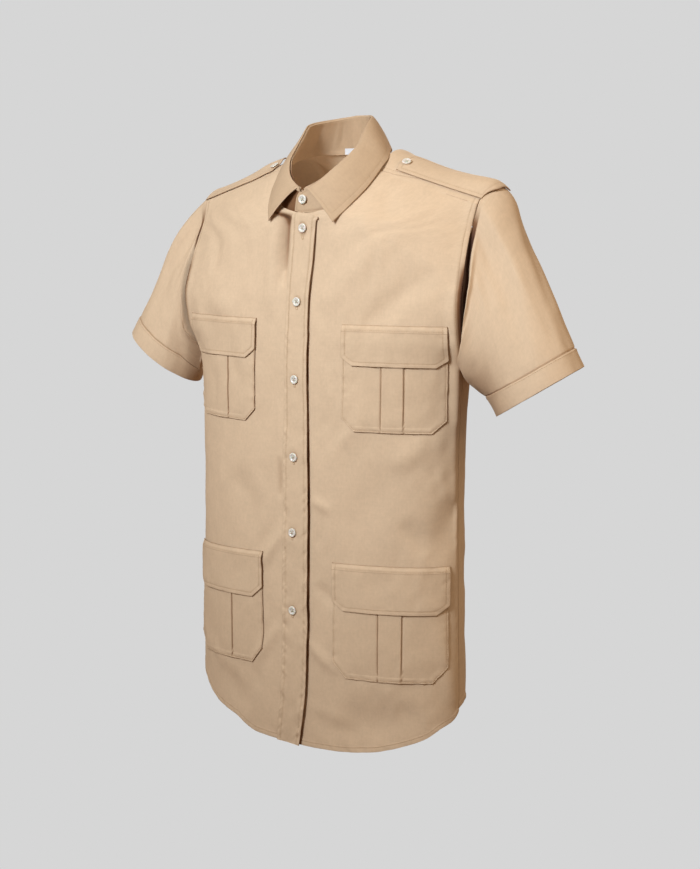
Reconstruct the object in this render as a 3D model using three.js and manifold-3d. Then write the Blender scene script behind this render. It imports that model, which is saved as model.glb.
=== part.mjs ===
// A short-sleeved cotton twill work shirt, standing open as if worn: two fronts, a back, a shoulder yoke, a
// buttoned placket, a collar on a stand, two sleeves with turned-up hems, two shoulder straps and four patch
// pockets with box pleats and flaps. Millimetres, +Z up, the wearer faces -Y and the wearer's left is +X.
// The origin is the middle of the neck, level with the back of the neck seam.
import * as THREE from "three";
import { mergeVertices } from "three/addons/utils/BufferGeometryUtils.js";
import Module from "manifold-3d";

const { sin, cos, min, max, abs, PI, hypot, exp, floor, sqrt } = Math;
const DEG = PI / 180;
const V = (x, y, z) => new THREE.Vector3(x, y, z);

// Driving sizes
const CLOTH = 1; // wall of one layer of twill
const DOUBLE = 1.6; // wall of a hemmed or doubled piece
const SEAM_GAP = 0.35; // space kept between two pieces that touch
const UNDERARM = -268; // height of the underarm point
const NECK_ROW = -95; // the row of the fronts that starts at the front of the neck
const BACK_YOKE = -97; // height of the yoke seam across the back
const NECK_SHARE = 0.36; // share of the yoke's half width that borders the neck
const YOKE_SIDE_TURN = 85; // place on the neck ring, in degrees from the front, where the yoke seam meets it
const PLACKET_DRIFT = -9; // how far the overlap swings to the wearer's right at the hem
const OVERLAP_EDGE = 7; // where the right front ends under the placket, left of the centre line

// Height of the hem, by the share of the row from the centre: the right of the wearer is negative.
const FRONT_HEM = [
  { f: -1, z: -694 },
  { f: -0.9, z: -713 },
  { f: -0.74, z: -737 },
  { f: -0.62, z: -750 },
  { f: -0.45, z: -758 },
  { f: -0.27, z: -771 },
  { f: 0, z: -772 },
  { f: 0.3, z: -770 },
  { f: 0.5, z: -764 },
  { f: 0.65, z: -754 },
  { f: 0.8, z: -740 },
  { f: 0.88, z: -727 },
  { f: 0.95, z: -711 },
  { f: 1, z: -694 },
];
const BACK_HEM = [
  { f: 0, z: -768 },
  { f: 0.45, z: -762 },
  { f: 0.65, z: -743 },
  { f: 0.8, z: -710 },
  { f: 0.9, z: -694 },
  { f: 1, z: -694 },
];

// Rows of a front, from the hem to the yoke seam. A row runs from the centre line, or the neckline, to the
// side seam, or the armhole, along an arc that turns by the given angle.
const FRONT_ROWS = [
  { h: -790, sy: -90.5, sz: -790, ex: 206, ey: -12, ez: -790, turn: 90 },
  { h: -700, sy: -89.5, sz: -700, ex: 207, ey: -12, ez: -700, turn: 90 },
  { h: -600, sy: -88.5, sz: -600, ex: 205, ey: -12, ez: -600, turn: 90 },
  { h: -500, sy: -87.5, sz: -500, ex: 203, ey: -12, ez: -500, turn: 90 },
  { h: -400, sy: -85.5, sz: -400, ex: 202, ey: -12, ez: -400, turn: 90 },
  { h: -330, sy: -83.5, sz: -330, ex: 203.5, ey: -12, ez: -330, turn: 90 },
  { h: -268, sy: -81.5, sz: -268, ex: 208, ey: -12, ez: -268, turn: 90 },
  { h: -230, sy: -79.5, sz: -230, ex: 216, ey: -32, ez: -230, turn: 76 },
  { h: -190, sy: -76.5, sz: -190, ex: 218, ey: -38, ez: -190, turn: 66 },
  { h: -143, sy: -70.5, sz: -136, ex: 217, ey: -31, ez: -155, turn: 56 },
  { h: -95, sy: -67, sz: -80, ex: 214, ey: -19, ez: -122, turn: 45 },
  { h: -48, sy: -67, sz: -80, ex: 212.5, ey: -5, ez: -93, turn: 35 },
  { h: 0, sy: -67, sz: -80, ex: 215, ey: 4, ez: -66, turn: 26 },
];

// Rows of the back, from the hem to the yoke seam, level all the way.
const BACK_ROWS = [
  { h: -790, sy: 96, ex: 206, ey: -12, turn: 90 },
  { h: -700, sy: 96, ex: 207, ey: -12, turn: 90 },
  { h: -600, sy: 96, ex: 205, ey: -12, turn: 90 },
  { h: -500, sy: 94, ex: 203, ey: -12, turn: 90 },
  { h: -400, sy: 92, ex: 202, ey: -12, turn: 90 },
  { h: -330, sy: 94, ex: 203.5, ey: -12, turn: 90 },
  { h: -268, sy: 99, ex: 208, ey: -12, turn: 90 },
  { h: -230, sy: 103, ex: 216, ey: 30, turn: 80 },
  { h: -190, sy: 106, ex: 219, ey: 52, turn: 72 },
  { h: -150, sy: 106, ex: 221, ey: 64, turn: 64 },
  { h: -97, sy: 101, ex: 222, ey: 68, turn: 56 },
];

// Neck seam and collar fold, by degrees round the neck from the centre front.
const NECK_RING = { wide: 74, deep: 67, middle: 1 };
const NECK_HEIGHTS = [
  { turn: 0, z: -79 },
  { turn: 30, z: -71 },
  { turn: 60, z: -48 },
  { turn: 85, z: -24 },
  { turn: 110, z: -9 },
  { turn: 140, z: -2 },
  { turn: 180, z: -2 },
];
const FOLD_RING = { wide: 46.5, deep: 60, middle: -5 };
const FOLD_HEIGHTS = [
  { turn: 0, z: -48 },
  { turn: 25, z: -36 },
  { turn: 50, z: -18 },
  { turn: 75, z: -3 },
  { turn: 100, z: 12 },
  { turn: 125, z: 31 },
  { turn: 150, z: 41 },
  { turn: 180, z: 45 },
];
// Free edge of the collar's fall, round the same way, on the wearer's left.
const FALL_EDGE = [
  { turn: 4, x: 51, y: -70, z: -88 },
  { turn: 30, x: 65, y: -53, z: -68 },
  { turn: 60, x: 78, y: -29, z: -43 },
  { turn: 90, x: 84, y: 4, z: -14 },
  { turn: 120, x: 67, y: 42, z: 2 },
  { turn: 150, x: 40, y: 72, z: -3 },
  { turn: 180, x: 0, y: 82, z: -6 },
];

// Each sleeve's hem: middle, half sizes and the fall of the sleeve there in degrees. along is how much the
// sleeve leaves the armhole along the cloth it is sewn to, leave and arrive how far it holds each direction.
const SLEEVE_HEMS = {
  left: { x: 304, y: 0, z: -291, wide: 66, deep: 50, fall: 59, side: 1, along: 0.42, leave: 0.5, arrive: 0.8 },
  right: { x: 288, y: 0, z: -285, wide: 64, deep: 50, fall: 57, side: -1, along: 0.66, leave: 0.72, arrive: 0.8 },
};

// Pockets: d is the distance round the body from the centre line, measured on the cloth.
// near and far are its side edges, top the height of the flap's seam at the near edge, tilt the rise per mm.
const POCKETS = {
  chest_left: {
    near: 71, far: 207, top: -214.5, height: 133.5, tilt: 0.012, cut: [18, 16],
    flap: 51, flapCut: [15, 10], pleat: [125, 153], side: 1,
  },
  chest_right: {
    near: 67, far: 203, top: -213.5, height: 135.5, tilt: -0.012, cut: [18, 17],
    flap: 52, flapCut: [16, 12], pleat: [121, 149], side: -1,
  },
  lower_left: {
    near: 61, far: 214, top: -518.5, height: 151.5, tilt: 0.025, cut: [19, 21],
    flap: 62, flapCut: [17, 11], pleat: [125, 155], side: 1,
  },
  lower_right: {
    near: 52.5, far: 204, top: -519.5, height: 153.5, tilt: -0.075, cut: [19, 21],
    flap: 63, flapCut: [18, 14], pleat: [113, 143], side: -1,
  },
};

// Soft folds of the fronts: a ridge or trough from one place on the cloth to another.
const FRONT_FOLDS = [
  { d0: -36, h0: -110, d1: -30, h1: -200, half: 10, rise: -3 },
  { d0: -46, h0: -95, d1: -40, h1: -200, half: 14, rise: 3 },
  { d0: 30, h0: -105, d1: 24, h1: -230, half: 12, rise: -2.5 },
  { d0: 60, h0: -120, d1: 100, h1: -60, half: 22, rise: 2 },
  { d0: 185, h0: -130, d1: 150, h1: -190, half: 20, rise: 2.5 },
  { d0: -150, h0: -150, d1: -120, h1: -220, half: 20, rise: 2 },
  { d0: 90, h0: -470, d1: 140, h1: -400, half: 26, rise: -2.5 },
  { d0: -70, h0: -700, d1: -40, h1: -600, half: 24, rise: -2 },
  { d0: 60, h0: -740, d1: 150, h1: -700, half: 24, rise: -2.5 },
  { d0: -110, h0: -420, d1: -60, h1: -480, half: 26, rise: -2.5 },
];
// Folds of the back: the cloth hangs from the shoulder blades.
const BACK_FOLDS = [
  { d0: 60, h0: -200, d1: 40, h1: -640, half: 22, rise: -5 },
  { d0: -66, h0: -210, d1: -48, h1: -600, half: 24, rise: -5 },
  { d0: 130, h0: -300, d1: 120, h1: -700, half: 26, rise: -3.5 },
  { d0: -128, h0: -280, d1: -124, h1: -720, half: 26, rise: -3.5 },
  { d0: 170, h0: -180, d1: 90, h1: -300, half: 22, rise: 3 },
  { d0: -170, h0: -190, d1: -92, h1: -290, half: 22, rise: 3 },
];

// Smooth value of one column of a table at key k.
function column(rows, key, name, k) {
  const n = rows.length;
  let i = 0;
  while (i < n - 2 && k > rows[i + 1][key]) i++;
  const at = (j) => rows[min(max(j, 0), n - 1)];
  const rate = (j) => (at(j + 1)[name] - at(j)[name]) / (at(j + 1)[key] - at(j)[key]);
  const slope = (j) => {
    if (j <= 0) return rate(0);
    if (j >= n - 1) return rate(n - 2);
    const p = rate(j - 1);
    const q = rate(j);
    return p * q > 0 ? (2 * p * q) / (p + q) : 0;
  };
  const a = rows[i];
  const b = rows[i + 1];
  const step = b[key] - a[key];
  const t = (k - a[key]) / step;
  const t2 = t * t;
  const t3 = t2 * t;
  return (
    (2 * t3 - 3 * t2 + 1) * a[name] +
    (t3 - 2 * t2 + t) * step * slope(i) +
    (3 * t2 - 2 * t3) * b[name] +
    (t3 - t2) * step * slope(i + 1)
  );
}

const smooth = (t) => {
  const c = min(max(t, 0), 1);
  return c * c * (3 - 2 * c);
};

// One row as an arc of equal steps, so that a share of its length gives a point.
const ARC_STEPS = 48;
function arcRow(start, end, turn) {
  const points = [];
  const lengths = [0];
  const last = turn * DEG;
  for (let i = 0; i <= ARC_STEPS; i++) {
    const a = (last * i) / ARC_STEPS;
    const along = sin(a) / sin(last);
    const bulge = (cos(a) - cos(last)) / (1 - cos(last));
    points.push(
      V(
        start.x + (end.x - start.x) * along,
        end.y - (end.y - start.y) * bulge,
        start.z + (end.z - start.z) * along,
      ),
    );
    if (i) lengths.push(lengths[i - 1] + points[i].distanceTo(points[i - 1]));
  }
  return { points, lengths, length: lengths[ARC_STEPS] };
}

function onRow(row, distance) {
  const d = min(max(distance, 0), row.length);
  let i = 0;
  while (i < ARC_STEPS - 1 && row.lengths[i + 1] < d) i++;
  const t = (d - row.lengths[i]) / (row.lengths[i + 1] - row.lengths[i]);
  return row.points[i].clone().lerp(row.points[i + 1], t);
}

const remembered = new Map();
function rowOf(kind, h) {
  const key = kind + h.toFixed(3);
  if (!remembered.has(key)) {
    const rows = kind === "front" ? FRONT_ROWS : BACK_ROWS;
    const c = (name) => column(rows, "h", name, h);
    const level = kind === "back";
    const start = kind === "front" && h > NECK_ROW
      ? neckRing((YOKE_SIDE_TURN * (h - NECK_ROW)) / -NECK_ROW)
      : V(0, c("sy"), level ? h : c("sz"));
    const end = V(c("ex"), c("ey"), level ? h : c("ez"));
    remembered.set(key, arcRow(start, end, c("turn")));
  }
  return remembered.get(key);
}

// Height of a soft fold at a place on the cloth.
function foldRise(folds, d, h) {
  let rise = 0;
  for (const f of folds) {
    const run = V(f.d1 - f.d0, f.h1 - f.h0, 0);
    const t = ((d - f.d0) * run.x + (h - f.h0) * run.y) / run.lengthSq();
    const c = min(max(t, 0), 1);
    const away = hypot(d - f.d0 - run.x * c, h - f.h0 - run.y * c);
    const taper = sin(PI * min(max((t + 0.25) / 1.5, 0), 1));
    rise += f.rise * exp(-((away / f.half) ** 2)) * taper;
  }
  return rise;
}

// A point of the plain front or back: f is the share of the row from the centre, negative on the right.
function plain(kind, f, h) {
  const row = rowOf(kind, h);
  const p = onRow(row, abs(f) * row.length);
  if (f < 0) p.x = -p.x;
  return p;
}

function bezier(a, b, c, d, t) {
  const q = 1 - t;
  const p = a.clone().multiplyScalar(q * q * q).addScaledVector(b, 3 * q * q * t);
  return p.addScaledVector(c, 3 * q * t * t).addScaledVector(d, t * t * t);
}

const STEP = 0.004; // step of a share over which a normal is measured
function normalOf(surface, u, v, du = STEP, dv = STEP) {
  const a = surface(u + du, v).sub(surface(u - du, v));
  const b = surface(u, v + dv).sub(surface(u, v - dv));
  return a.cross(b).normalize();
}

const HEIGHT_STEP = 1.5; // the same, for heights
const EDGE_SHARE = 0.985; // folds and normals are measured no nearer a row's end than this
function bodySurface(kind) {
  const side = kind === "front" ? 1 : -1;
  const folds = kind === "front" ? FRONT_FOLDS : BACK_FOLDS;
  const highest = kind === "front" ? -HEIGHT_STEP : BACK_YOKE - HEIGHT_STEP;
  const base = (f, h) => plain(kind, f, h);
  const out = (f, h) => {
    const g = min(max(f, -EDGE_SHARE), EDGE_SHARE);
    return normalOf(base, g, min(h, highest), STEP, HEIGHT_STEP).multiplyScalar(side);
  };
  return (f, h, lift = 0) => {
    const d = f * rowOf(kind, h).length;
    const edge = smooth((1 - abs(f)) / 0.12);
    const rise = lift + foldRise(folds, d, h) * edge;
    return base(f, h).addScaledVector(out(f, h), rise);
  };
}
const front = bodySurface("front");
const back = bodySurface("back");
// The same front, by distance on the cloth from the centre line.
const frontAt = (d, h, lift = 0) => front(d / rowOf("front", h).length, h, lift);

const placketMiddle = (h) => PLACKET_DRIFT * smooth((-h - 520) / 260);

function ring(shape, heights, turn) {
  const a = turn * DEG;
  const z = column(heights, "turn", "z", min(abs(turn), 360 - abs(turn)));
  return V(shape.wide * sin(a), shape.middle - shape.deep * cos(a), z);
}
const neckRing = (turn) => ring(NECK_RING, NECK_HEIGHTS, turn);
const foldRing = (turn) => ring(FOLD_RING, FOLD_HEIGHTS, turn);

// The yoke: w runs from armhole to armhole, t from the neck or the front seam to the back seam.
function yokeFrontEdge(w) {
  const s = abs(w);
  const p =
    s <= NECK_SHARE
      ? neckRing(180 - ((180 - YOKE_SIDE_TURN) * s) / NECK_SHARE)
      : plain("front", (s - NECK_SHARE) / (1 - NECK_SHARE), 0);
  return V(w < 0 ? -abs(p.x) : abs(p.x), p.y, p.z);
}
// Shape of the yoke over the shoulder, by share of its half width: the way it leaves its front edge, in
// degrees over level, how far it holds that way, and how far it drops straight to the seam of the back.
const YOKE_PROFILE = [
  { w: 0, rise: -62, reach: 30, drop: 34 },
  { w: 0.2, rise: -20, reach: 30, drop: 62 },
  { w: 0.36, rise: 40, reach: 56, drop: 92 },
  { w: 0.5, rise: 42, reach: 58, drop: 86 },
  { w: 0.75, rise: 44, reach: 54, drop: 72 },
  { w: 1, rise: 50, reach: 51, drop: 62 },
];
const BACK_SETBACK = 3; // how far behind the back seam that drop starts
const RIGHT_SHOULDER_DROP = 4; // the wearer's right shoulder sits this much lower
function yoke(w, t, lift = 0) {
  const s = abs(w);
  const a = yokeFrontEdge(w);
  const d = plain("back", w, BACK_YOKE);
  const rise = column(YOKE_PROFILE, "w", "rise", s) * DEG;
  const reach = column(YOKE_PROFILE, "w", "reach", s);
  const b = a.clone().add(V(0, reach * cos(rise), reach * sin(rise)));
  const c = d.clone().add(V(0, BACK_SETBACK, column(YOKE_PROFILE, "w", "drop", s)));
  const p = bezier(a, b, c, d, t);
  if (w < 0) p.z -= RIGHT_SHOULDER_DROP * sin(PI * t) * sin(PI * s);
  if (!lift) return p;
  const n = normalOf(yoke, min(max(w, -0.99), 0.99), min(max(t, 0.01), 0.99));
  return p.addScaledVector(n, lift);
}

// A closed solid between two grids of points, row by row; a loop joins its last column to its first.
function solid(upper, lower, columns, rows, loop = false) {
  const positions = [];
  for (const p of [...upper, ...lower]) positions.push(p.x, p.y, p.z);
  const side = columns * rows;
  const id = (i, j, layer) => layer * side + j * columns + (i % columns);
  const index = [];
  const quad = (a, b, c, d) => index.push(a, b, c, a, c, d);
  const across = loop ? columns : columns - 1;
  for (let j = 0; j < rows - 1; j++) {
    for (let i = 0; i < across; i++) {
      quad(id(i, j, 0), id(i + 1, j, 0), id(i + 1, j + 1, 0), id(i, j + 1, 0));
      quad(id(i, j, 1), id(i, j + 1, 1), id(i + 1, j + 1, 1), id(i + 1, j, 1));
    }
  }
  const top = rows - 1;
  for (let i = 0; i < across; i++) {
    quad(id(i, 0, 0), id(i, 0, 1), id(i + 1, 0, 1), id(i + 1, 0, 0));
    quad(id(i, top, 0), id(i + 1, top, 0), id(i + 1, top, 1), id(i, top, 1));
  }
  if (!loop) {
    const last = columns - 1;
    for (let j = 0; j < top; j++) {
      quad(id(0, j, 0), id(0, j + 1, 0), id(0, j + 1, 1), id(0, j, 1));
      quad(id(last, j, 0), id(last, j, 1), id(last, j + 1, 1), id(last, j + 1, 0));
    }
  }
  return closed(positions, index);
}

// A wall of cloth over a surface. thick is the wall, on the side that its sign gives.
function wall(surface, us, vs, thick, loop = false) {
  const columns = loop ? us.length - 1 : us.length;
  const rows = vs.length;
  const grid = vs.map((v) => us.slice(0, columns).map((u) => surface(u, v)));
  const held = (i) => (loop ? (i + columns) % columns : min(max(i, 0), columns - 1));
  const at = (i, j) => grid[min(max(j, 0), rows - 1)][held(i)];
  const lower = [];
  for (let j = 0; j < rows; j++) {
    for (let i = 0; i < columns; i++) {
      const across = at(i + 1, j).clone().sub(at(i - 1, j));
      const up = at(i, j + 1).clone().sub(at(i, j - 1));
      lower.push(at(i, j).clone().addScaledVector(across.cross(up).normalize(), thick));
    }
  }
  return solid(grid.flat(), lower, columns, rows, loop);
}

// A solid between an upper and a lower surface over the same grid.
function between(upper, lower, us, vs) {
  const points = (layer) => vs.flatMap((v) => us.map((u) => layer(u, v)));
  return solid(points(upper), points(lower), us.length, vs.length);
}

const spread = (a, b, n) => Array.from({ length: n + 1 }, (_, i) => a + ((b - a) * i) / n);

// A geometry whose faces point out, whichever way its surface ran.
function closed(positions, index) {
  const p = (i) => V(positions[3 * i], positions[3 * i + 1], positions[3 * i + 2]);
  let volume = 0;
  for (let i = 0; i < index.length; i += 3) {
    volume += p(index[i]).dot(p(index[i + 1]).cross(p(index[i + 2])));
  }
  if (volume < 0) {
    for (let i = 0; i < index.length; i += 3) [index[i + 1], index[i + 2]] = [index[i + 2], index[i + 1]];
  }
  const made = new THREE.BufferGeometry();
  made.setAttribute("position", new THREE.Float32BufferAttribute(positions, 3));
  made.setIndex(index);
  return made;
}

const FINISHES = {
  shell: { color: 0xcbae88, roughness: 0.85, metalness: 0 },
  trim: { color: 0xc6a983, roughness: 0.85, metalness: 0 },
  button: { color: 0xe6e2da, roughness: 0.3, metalness: 0 },
  label: { color: 0xe9e9ec, roughness: 0.8, metalness: 0 },
};
const shirt = new THREE.Group();
function add(name, geometry, finish) {
  const mesh = new THREE.Mesh(geometry, new THREE.MeshStandardMaterial(FINISHES[finish]));
  mesh.name = name;
  shirt.add(mesh);
}

// Fronts, back and yoke
const FRONT_GRID = { columns: 15, low: 15, high: 12 };
const SEAM_SHARE = 0.0016; // gap left at a row's end, as a share of the row
const NECKLINE_RUN = 10; // height over which the inner edge passes from the placket to the neckline
function frontHeight(f, v) {
  const split = FRONT_GRID.low / (FRONT_GRID.low + FRONT_GRID.high);
  const low = column(FRONT_HEM, "f", "z", f);
  if (v <= split) return low + ((UNDERARM - low) * v) / split;
  return UNDERARM + ((-SEAM_GAP * 2 - UNDERARM) * (v - split)) / (1 - split);
}
// side 1 is the wearer's left. The inner edge lies under the placket, and above it on the neckline.
function frontPanel(side) {
  const surface = (u, v) => {
    const h = frontHeight(side > 0 ? u : u - 1, v);
    const length = rowOf("front", h).length;
    const neckline = smooth((h - NECK_ROW + NECKLINE_RUN / 2) / NECKLINE_RUN);
    const edge = (OVERLAP_EDGE + placketMiddle(h) + side * SEAM_GAP) / length;
    const inner = edge * (1 - neckline) + side * SEAM_SHARE * neckline;
    const outer = side * (1 - SEAM_SHARE);
    return front(side > 0 ? inner + (outer - inner) * u : outer + (inner - outer) * u, h);
  };
  return wall(surface, spread(0, 1, FRONT_GRID.columns), spread(0, 1, FRONT_GRID.low + FRONT_GRID.high), -CLOTH);
}
add("front_left", frontPanel(1), "shell");
add("front_right", frontPanel(-1), "shell");

const BACK_GRID = { columns: 20, rows: 17 };
function backPoint(u, v) {
  const f = (1 - 2 * u) * (1 - SEAM_SHARE);
  const low = column(BACK_HEM, "f", "z", abs(f));
  return back(f, low + (BACK_YOKE - SEAM_GAP - low) * v);
}
add("back", wall(backPoint, spread(0, 1, BACK_GRID.columns), spread(0, 1, BACK_GRID.rows), -CLOTH), "shell");

const YOKE_GRID = { columns: 24, rows: 7, side: 0.998, edge: 0.006 };
const yokeAcross = spread(-YOKE_GRID.side, YOKE_GRID.side, YOKE_GRID.columns);
const yokeOver = spread(YOKE_GRID.edge, 1 - YOKE_GRID.edge, YOKE_GRID.rows);
add("yoke", wall((w, t) => yoke(w, t), yokeAcross, yokeOver, -CLOTH), "shell");


// Sleeves: from the armhole to the hem, with the hem turned up on the outside
const SLEEVE_COLUMNS = 26;
const SLEEVE_START = 0.5; // gap between the armhole and the sleeve
const SLEEVE_FORWARD = 0.09; // how far the sleeves lean forward
// Points round the armhole from the underarm up the front, over the yoke and down the back, each with the
// way that the cloth runs out over it.
const NEAR_EDGE = 0.97; // share of a row at which the way out is measured
function armhole() {
  const steps = 40;
  const found = [];
  const note = (surface, place) => {
    const p = surface(1, place);
    found.push({ p, out: p.clone().sub(surface(NEAR_EDGE, place)).normalize() });
  };
  for (const h of spread(UNDERARM, -0.01, steps)) note(front, h);
  for (const t of spread(0, 1, steps).slice(1, -1)) note(yoke, t);
  for (const h of spread(BACK_YOKE, UNDERARM, steps).slice(0, -1)) note(back, h);
  return found;
}
const hemOut = (hem) => V(sin(hem.fall * DEG), 0, cos(hem.fall * DEG));
const hemDown = (hem) => V(cos(hem.fall * DEG), -SLEEVE_FORWARD, -sin(hem.fall * DEG)).normalize();
// Folds of a sleeve: degrees round it from the underarm and share of its length, from one end to the other.
const SLEEVE_FOLDS = [
  { a0: 200, s0: 0.1, a1: 172, s1: 0.7, half: 12, rise: -4 },
  { a0: 150, s0: 0.3, a1: 120, s1: 0.9, half: 16, rise: 2.5 },
  { a0: 60, s0: 0.1, a1: 40, s1: 0.8, half: 14, rise: -3.5 },
  { a0: 300, s0: 0.1, a1: 320, s1: 0.8, half: 14, rise: -3.5 },
  { a0: 240, s0: 0.4, a1: 225, s1: 1, half: 16, rise: 2.5 },
];
const sleeveRing = (() => {
  const found = armhole();
  const lengths = [0];
  const n = found.length;
  for (let i = 1; i <= n; i++) lengths.push(lengths[i - 1] + found[i % n].p.distanceTo(found[i - 1].p));
  return { found, lengths, n };
})();
function ringAt(share) {
  const { found, lengths, n } = sleeveRing;
  const d = (share - floor(share)) * lengths[n];
  let i = 0;
  while (i < n - 1 && lengths[i + 1] < d) i++;
  const t = (d - lengths[i]) / (lengths[i + 1] - lengths[i]);
  const a = found[i];
  const b = found[(i + 1) % n];
  return { p: a.p.clone().lerp(b.p, t), out: a.out.clone().lerp(b.out, t).normalize() };
}
function sleevePlain(hem, share, t) {
  const start = ringAt(share);
  const a = 2 * PI * share;
  const down = hemDown(hem);
  const h = V(hem.x, hem.y, hem.z);
  h.addScaledVector(hemOut(hem), -hem.wide * cos(a)).add(V(0, -hem.deep * sin(a), 0));
  const begin = start.p.clone().addScaledVector(start.out, SLEEVE_START);
  const reach = h.distanceTo(begin);
  const leave = start.out.clone().multiplyScalar(hem.along).addScaledVector(down, 1 - hem.along);
  leave.normalize().multiplyScalar(reach * hem.leave);
  const arrive = down.clone().multiplyScalar(reach * hem.arrive);
  const t2 = t * t;
  const t3 = t2 * t;
  return begin
    .multiplyScalar(2 * t3 - 3 * t2 + 1)
    .addScaledVector(leave, t3 - 2 * t2 + t)
    .addScaledVector(h, 3 * t2 - 2 * t3)
    .addScaledVector(arrive, t3 - t2);
}
function sleeve(hem, share, t, lift = 0) {
  const p = sleevePlain(hem, share, t);
  const bare = (a, b) => sleevePlain(hem, a, b);
  const n = normalOf(bare, share, min(max(t, 0.05), 0.99), 0.01, 0.01).negate();
  let rise = lift;
  for (const f of SLEEVE_FOLDS) {
    const s = min(max((t - f.s0) / (f.s1 - f.s0), 0), 1);
    const around = ((share * 360 - f.a0 - (f.a1 - f.a0) * s + 540) % 360) - 180;
    const away = (around * DEG * hem.wide) / f.half;
    rise += f.rise * exp(-away * away) * smooth(t / 0.25) * sin(PI * min(max(s * 0.8 + 0.1, 0), 1));
  }
  return p.addScaledVector(n, rise);
}
const BAND_FROM = 0.862; // where the turned-up hem begins, as a share of the sleeve
function sleevePiece(hem) {
  const rows = [0, 0.035, 0.1, 0.2, 0.32, 0.45, 0.58, 0.7, 0.8, 0.858, 0.866, 0.93, 1];
  const surface = (u, t) => {
    const p = sleeve(hem, u, t, t > BAND_FROM ? CLOTH : 0);
    p.x *= hem.side;
    return p;
  };
  return wall(surface, spread(0, 1, SLEEVE_COLUMNS), rows, hem.side * CLOTH, true);
}
add("sleeve_left", sleevePiece(SLEEVE_HEMS.left), "shell");
add("sleeve_right", sleevePiece(SLEEVE_HEMS.right), "shell");

// Placket: a band over the joined fronts, its left edge standing a little proud
const PLACKET_TOP = -96;
const PLACKET_EDGES = [
  { h: -780, right: -28, left: 11, proud: 1.2 },
  { h: -700, right: -20.5, left: 22, proud: 1.5 },
  { h: -600, right: -18, left: 25, proud: 1.5 },
  { h: -480, right: -17.5, left: 25, proud: 1.5 },
  { h: -290, right: -17, left: 21, proud: 1 },
  { h: -190, right: -17, left: 18.5, proud: 1 },
  { h: -96, right: -14, left: 25, proud: 0.4 },
];
const PLACKET_LIFT = 0.9; // space under the placket, which holds the two overlapping edges
const PLACKET_ROWS = 32;
function placketPoint(u, v, thick) {
  const low = column(FRONT_HEM, "f", "z", 0);
  const h = low + (PLACKET_TOP - low) * v;
  const c = (name) => column(PLACKET_EDGES, "h", name, h);
  const d = c("right") + (c("left") - c("right")) * u;
  return frontAt(d, h, PLACKET_LIFT + c("proud") * u * u + thick);
}
const PLACKET_COLUMNS = 3;
add(
  "placket",
  between(
    (u, v) => placketPoint(u, v, CLOTH),
    (u, v) => placketPoint(u, v, 0),
    spread(0, 1, PLACKET_COLUMNS),
    spread(0, 1, PLACKET_ROWS),
  ),
  "trim",
);

// Collar stand, with its left end over its right end, and the fall that turns over it
// end is how far each end passes the centre line in degrees; under and over set the lapped ends apart.
const STAND = {
  end: 13.5, under: 2.6, over: 1, round: 9, thick: 1.8, low: 0.045, tall: 0.845,
  underFrom: -70, overFrom: -290, lapRun: 50, endHeight: 0.3, radius: 70,
};
const STAND_TURN = 360 + 2 * STAND.end;
const NECK_MIDDLE = 4;
// A point between the neck seam and the fold, and the way out from the neck there.
const neckPoint = (turn, share) => neckRing(turn).lerp(foldRing(turn), share);
const awayFromNeck = (p) => V(p.x, p.y + NECK_MIDDLE, 0).normalize();
function standPoint(u, v) {
  const along = STAND.end - u * STAND_TURN;
  const turn = along < -180 ? along + 360 : along;
  const fromEnd = min(u, 1 - u) * STAND_TURN * DEG * STAND.radius;
  const r = min(fromEnd / STAND.round, 1);
  const tall = STAND.endHeight + (1 - STAND.endHeight) * sqrt(max(1 - (1 - r) ** 2, 0));
  const p = neckPoint(turn, STAND.low + STAND.tall * tall * v);
  const under = STAND.under * smooth((along - STAND.underFrom) / STAND.lapRun);
  const over = STAND.over * smooth((STAND.overFrom - along) / STAND.lapRun);
  return p.addScaledVector(awayFromNeck(p), over - under);
}
add("collar_stand", wall(standPoint, spread(0, 1, 44), spread(0, 1, 3), STAND.thick), "trim");

// The fall starts lift over the fold, rolls up and over it, and bellies out before its edge.
const FALL = { from: 3.5, lift: 2.2, roll: 5, forward: 1.6, columns: 36, rows: 5, bellyAt: 0.45 };
// The wearer's right side lies flatter and closer to the neck, most of all between these turns.
const FALL_SIDES = {
  left: { belly: 6, closer: 0, side: 1 },
  right: { belly: 2.5, closer: 5, side: -1 },
};
const FALL_CLOSER = { from: 10, rise: 60, until: 170, fade: 50 };
function fallPoint(u, v) {
  const turn = FALL.from + (360 - 2 * FALL.from) * u;
  const s = min(turn, 360 - turn);
  const own = turn > 180 ? FALL_SIDES.right : FALL_SIDES.left;
  const closer = smooth((s - FALL_CLOSER.from) / FALL_CLOSER.rise) * smooth((FALL_CLOSER.until - s) / FALL_CLOSER.fade);
  const fold = foldRing(s);
  const edge = (name) => column(FALL_EDGE, "turn", name, s);
  const e = V(edge("x") - own.closer * closer, edge("y"), edge("z"));
  const start = fold.clone().add(V(0, 0, FALL.lift));
  const out = V(edge("x") - fold.x, edge("y") - fold.y, 0).normalize();
  out.add(V(sin(s * DEG), -cos(s * DEG), 0).multiplyScalar(FALL.forward)).normalize();
  const belly = FALL_SIDES.left.belly + (own.belly - FALL_SIDES.left.belly) * closer;
  const b = start.clone().add(V(0, 0, FALL.roll)).addScaledVector(out, 1);
  const c = start.clone().lerp(e, FALL.bellyAt).addScaledVector(out, belly).add(V(0, 0, belly));
  const p = bezier(start, b, c, e, v);
  p.x *= own.side;
  return p;
}
add("collar_fall", wall(fallPoint, spread(0, 1, FALL.columns), spread(0, 1, FALL.rows), DOUBLE), "trim");

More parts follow.
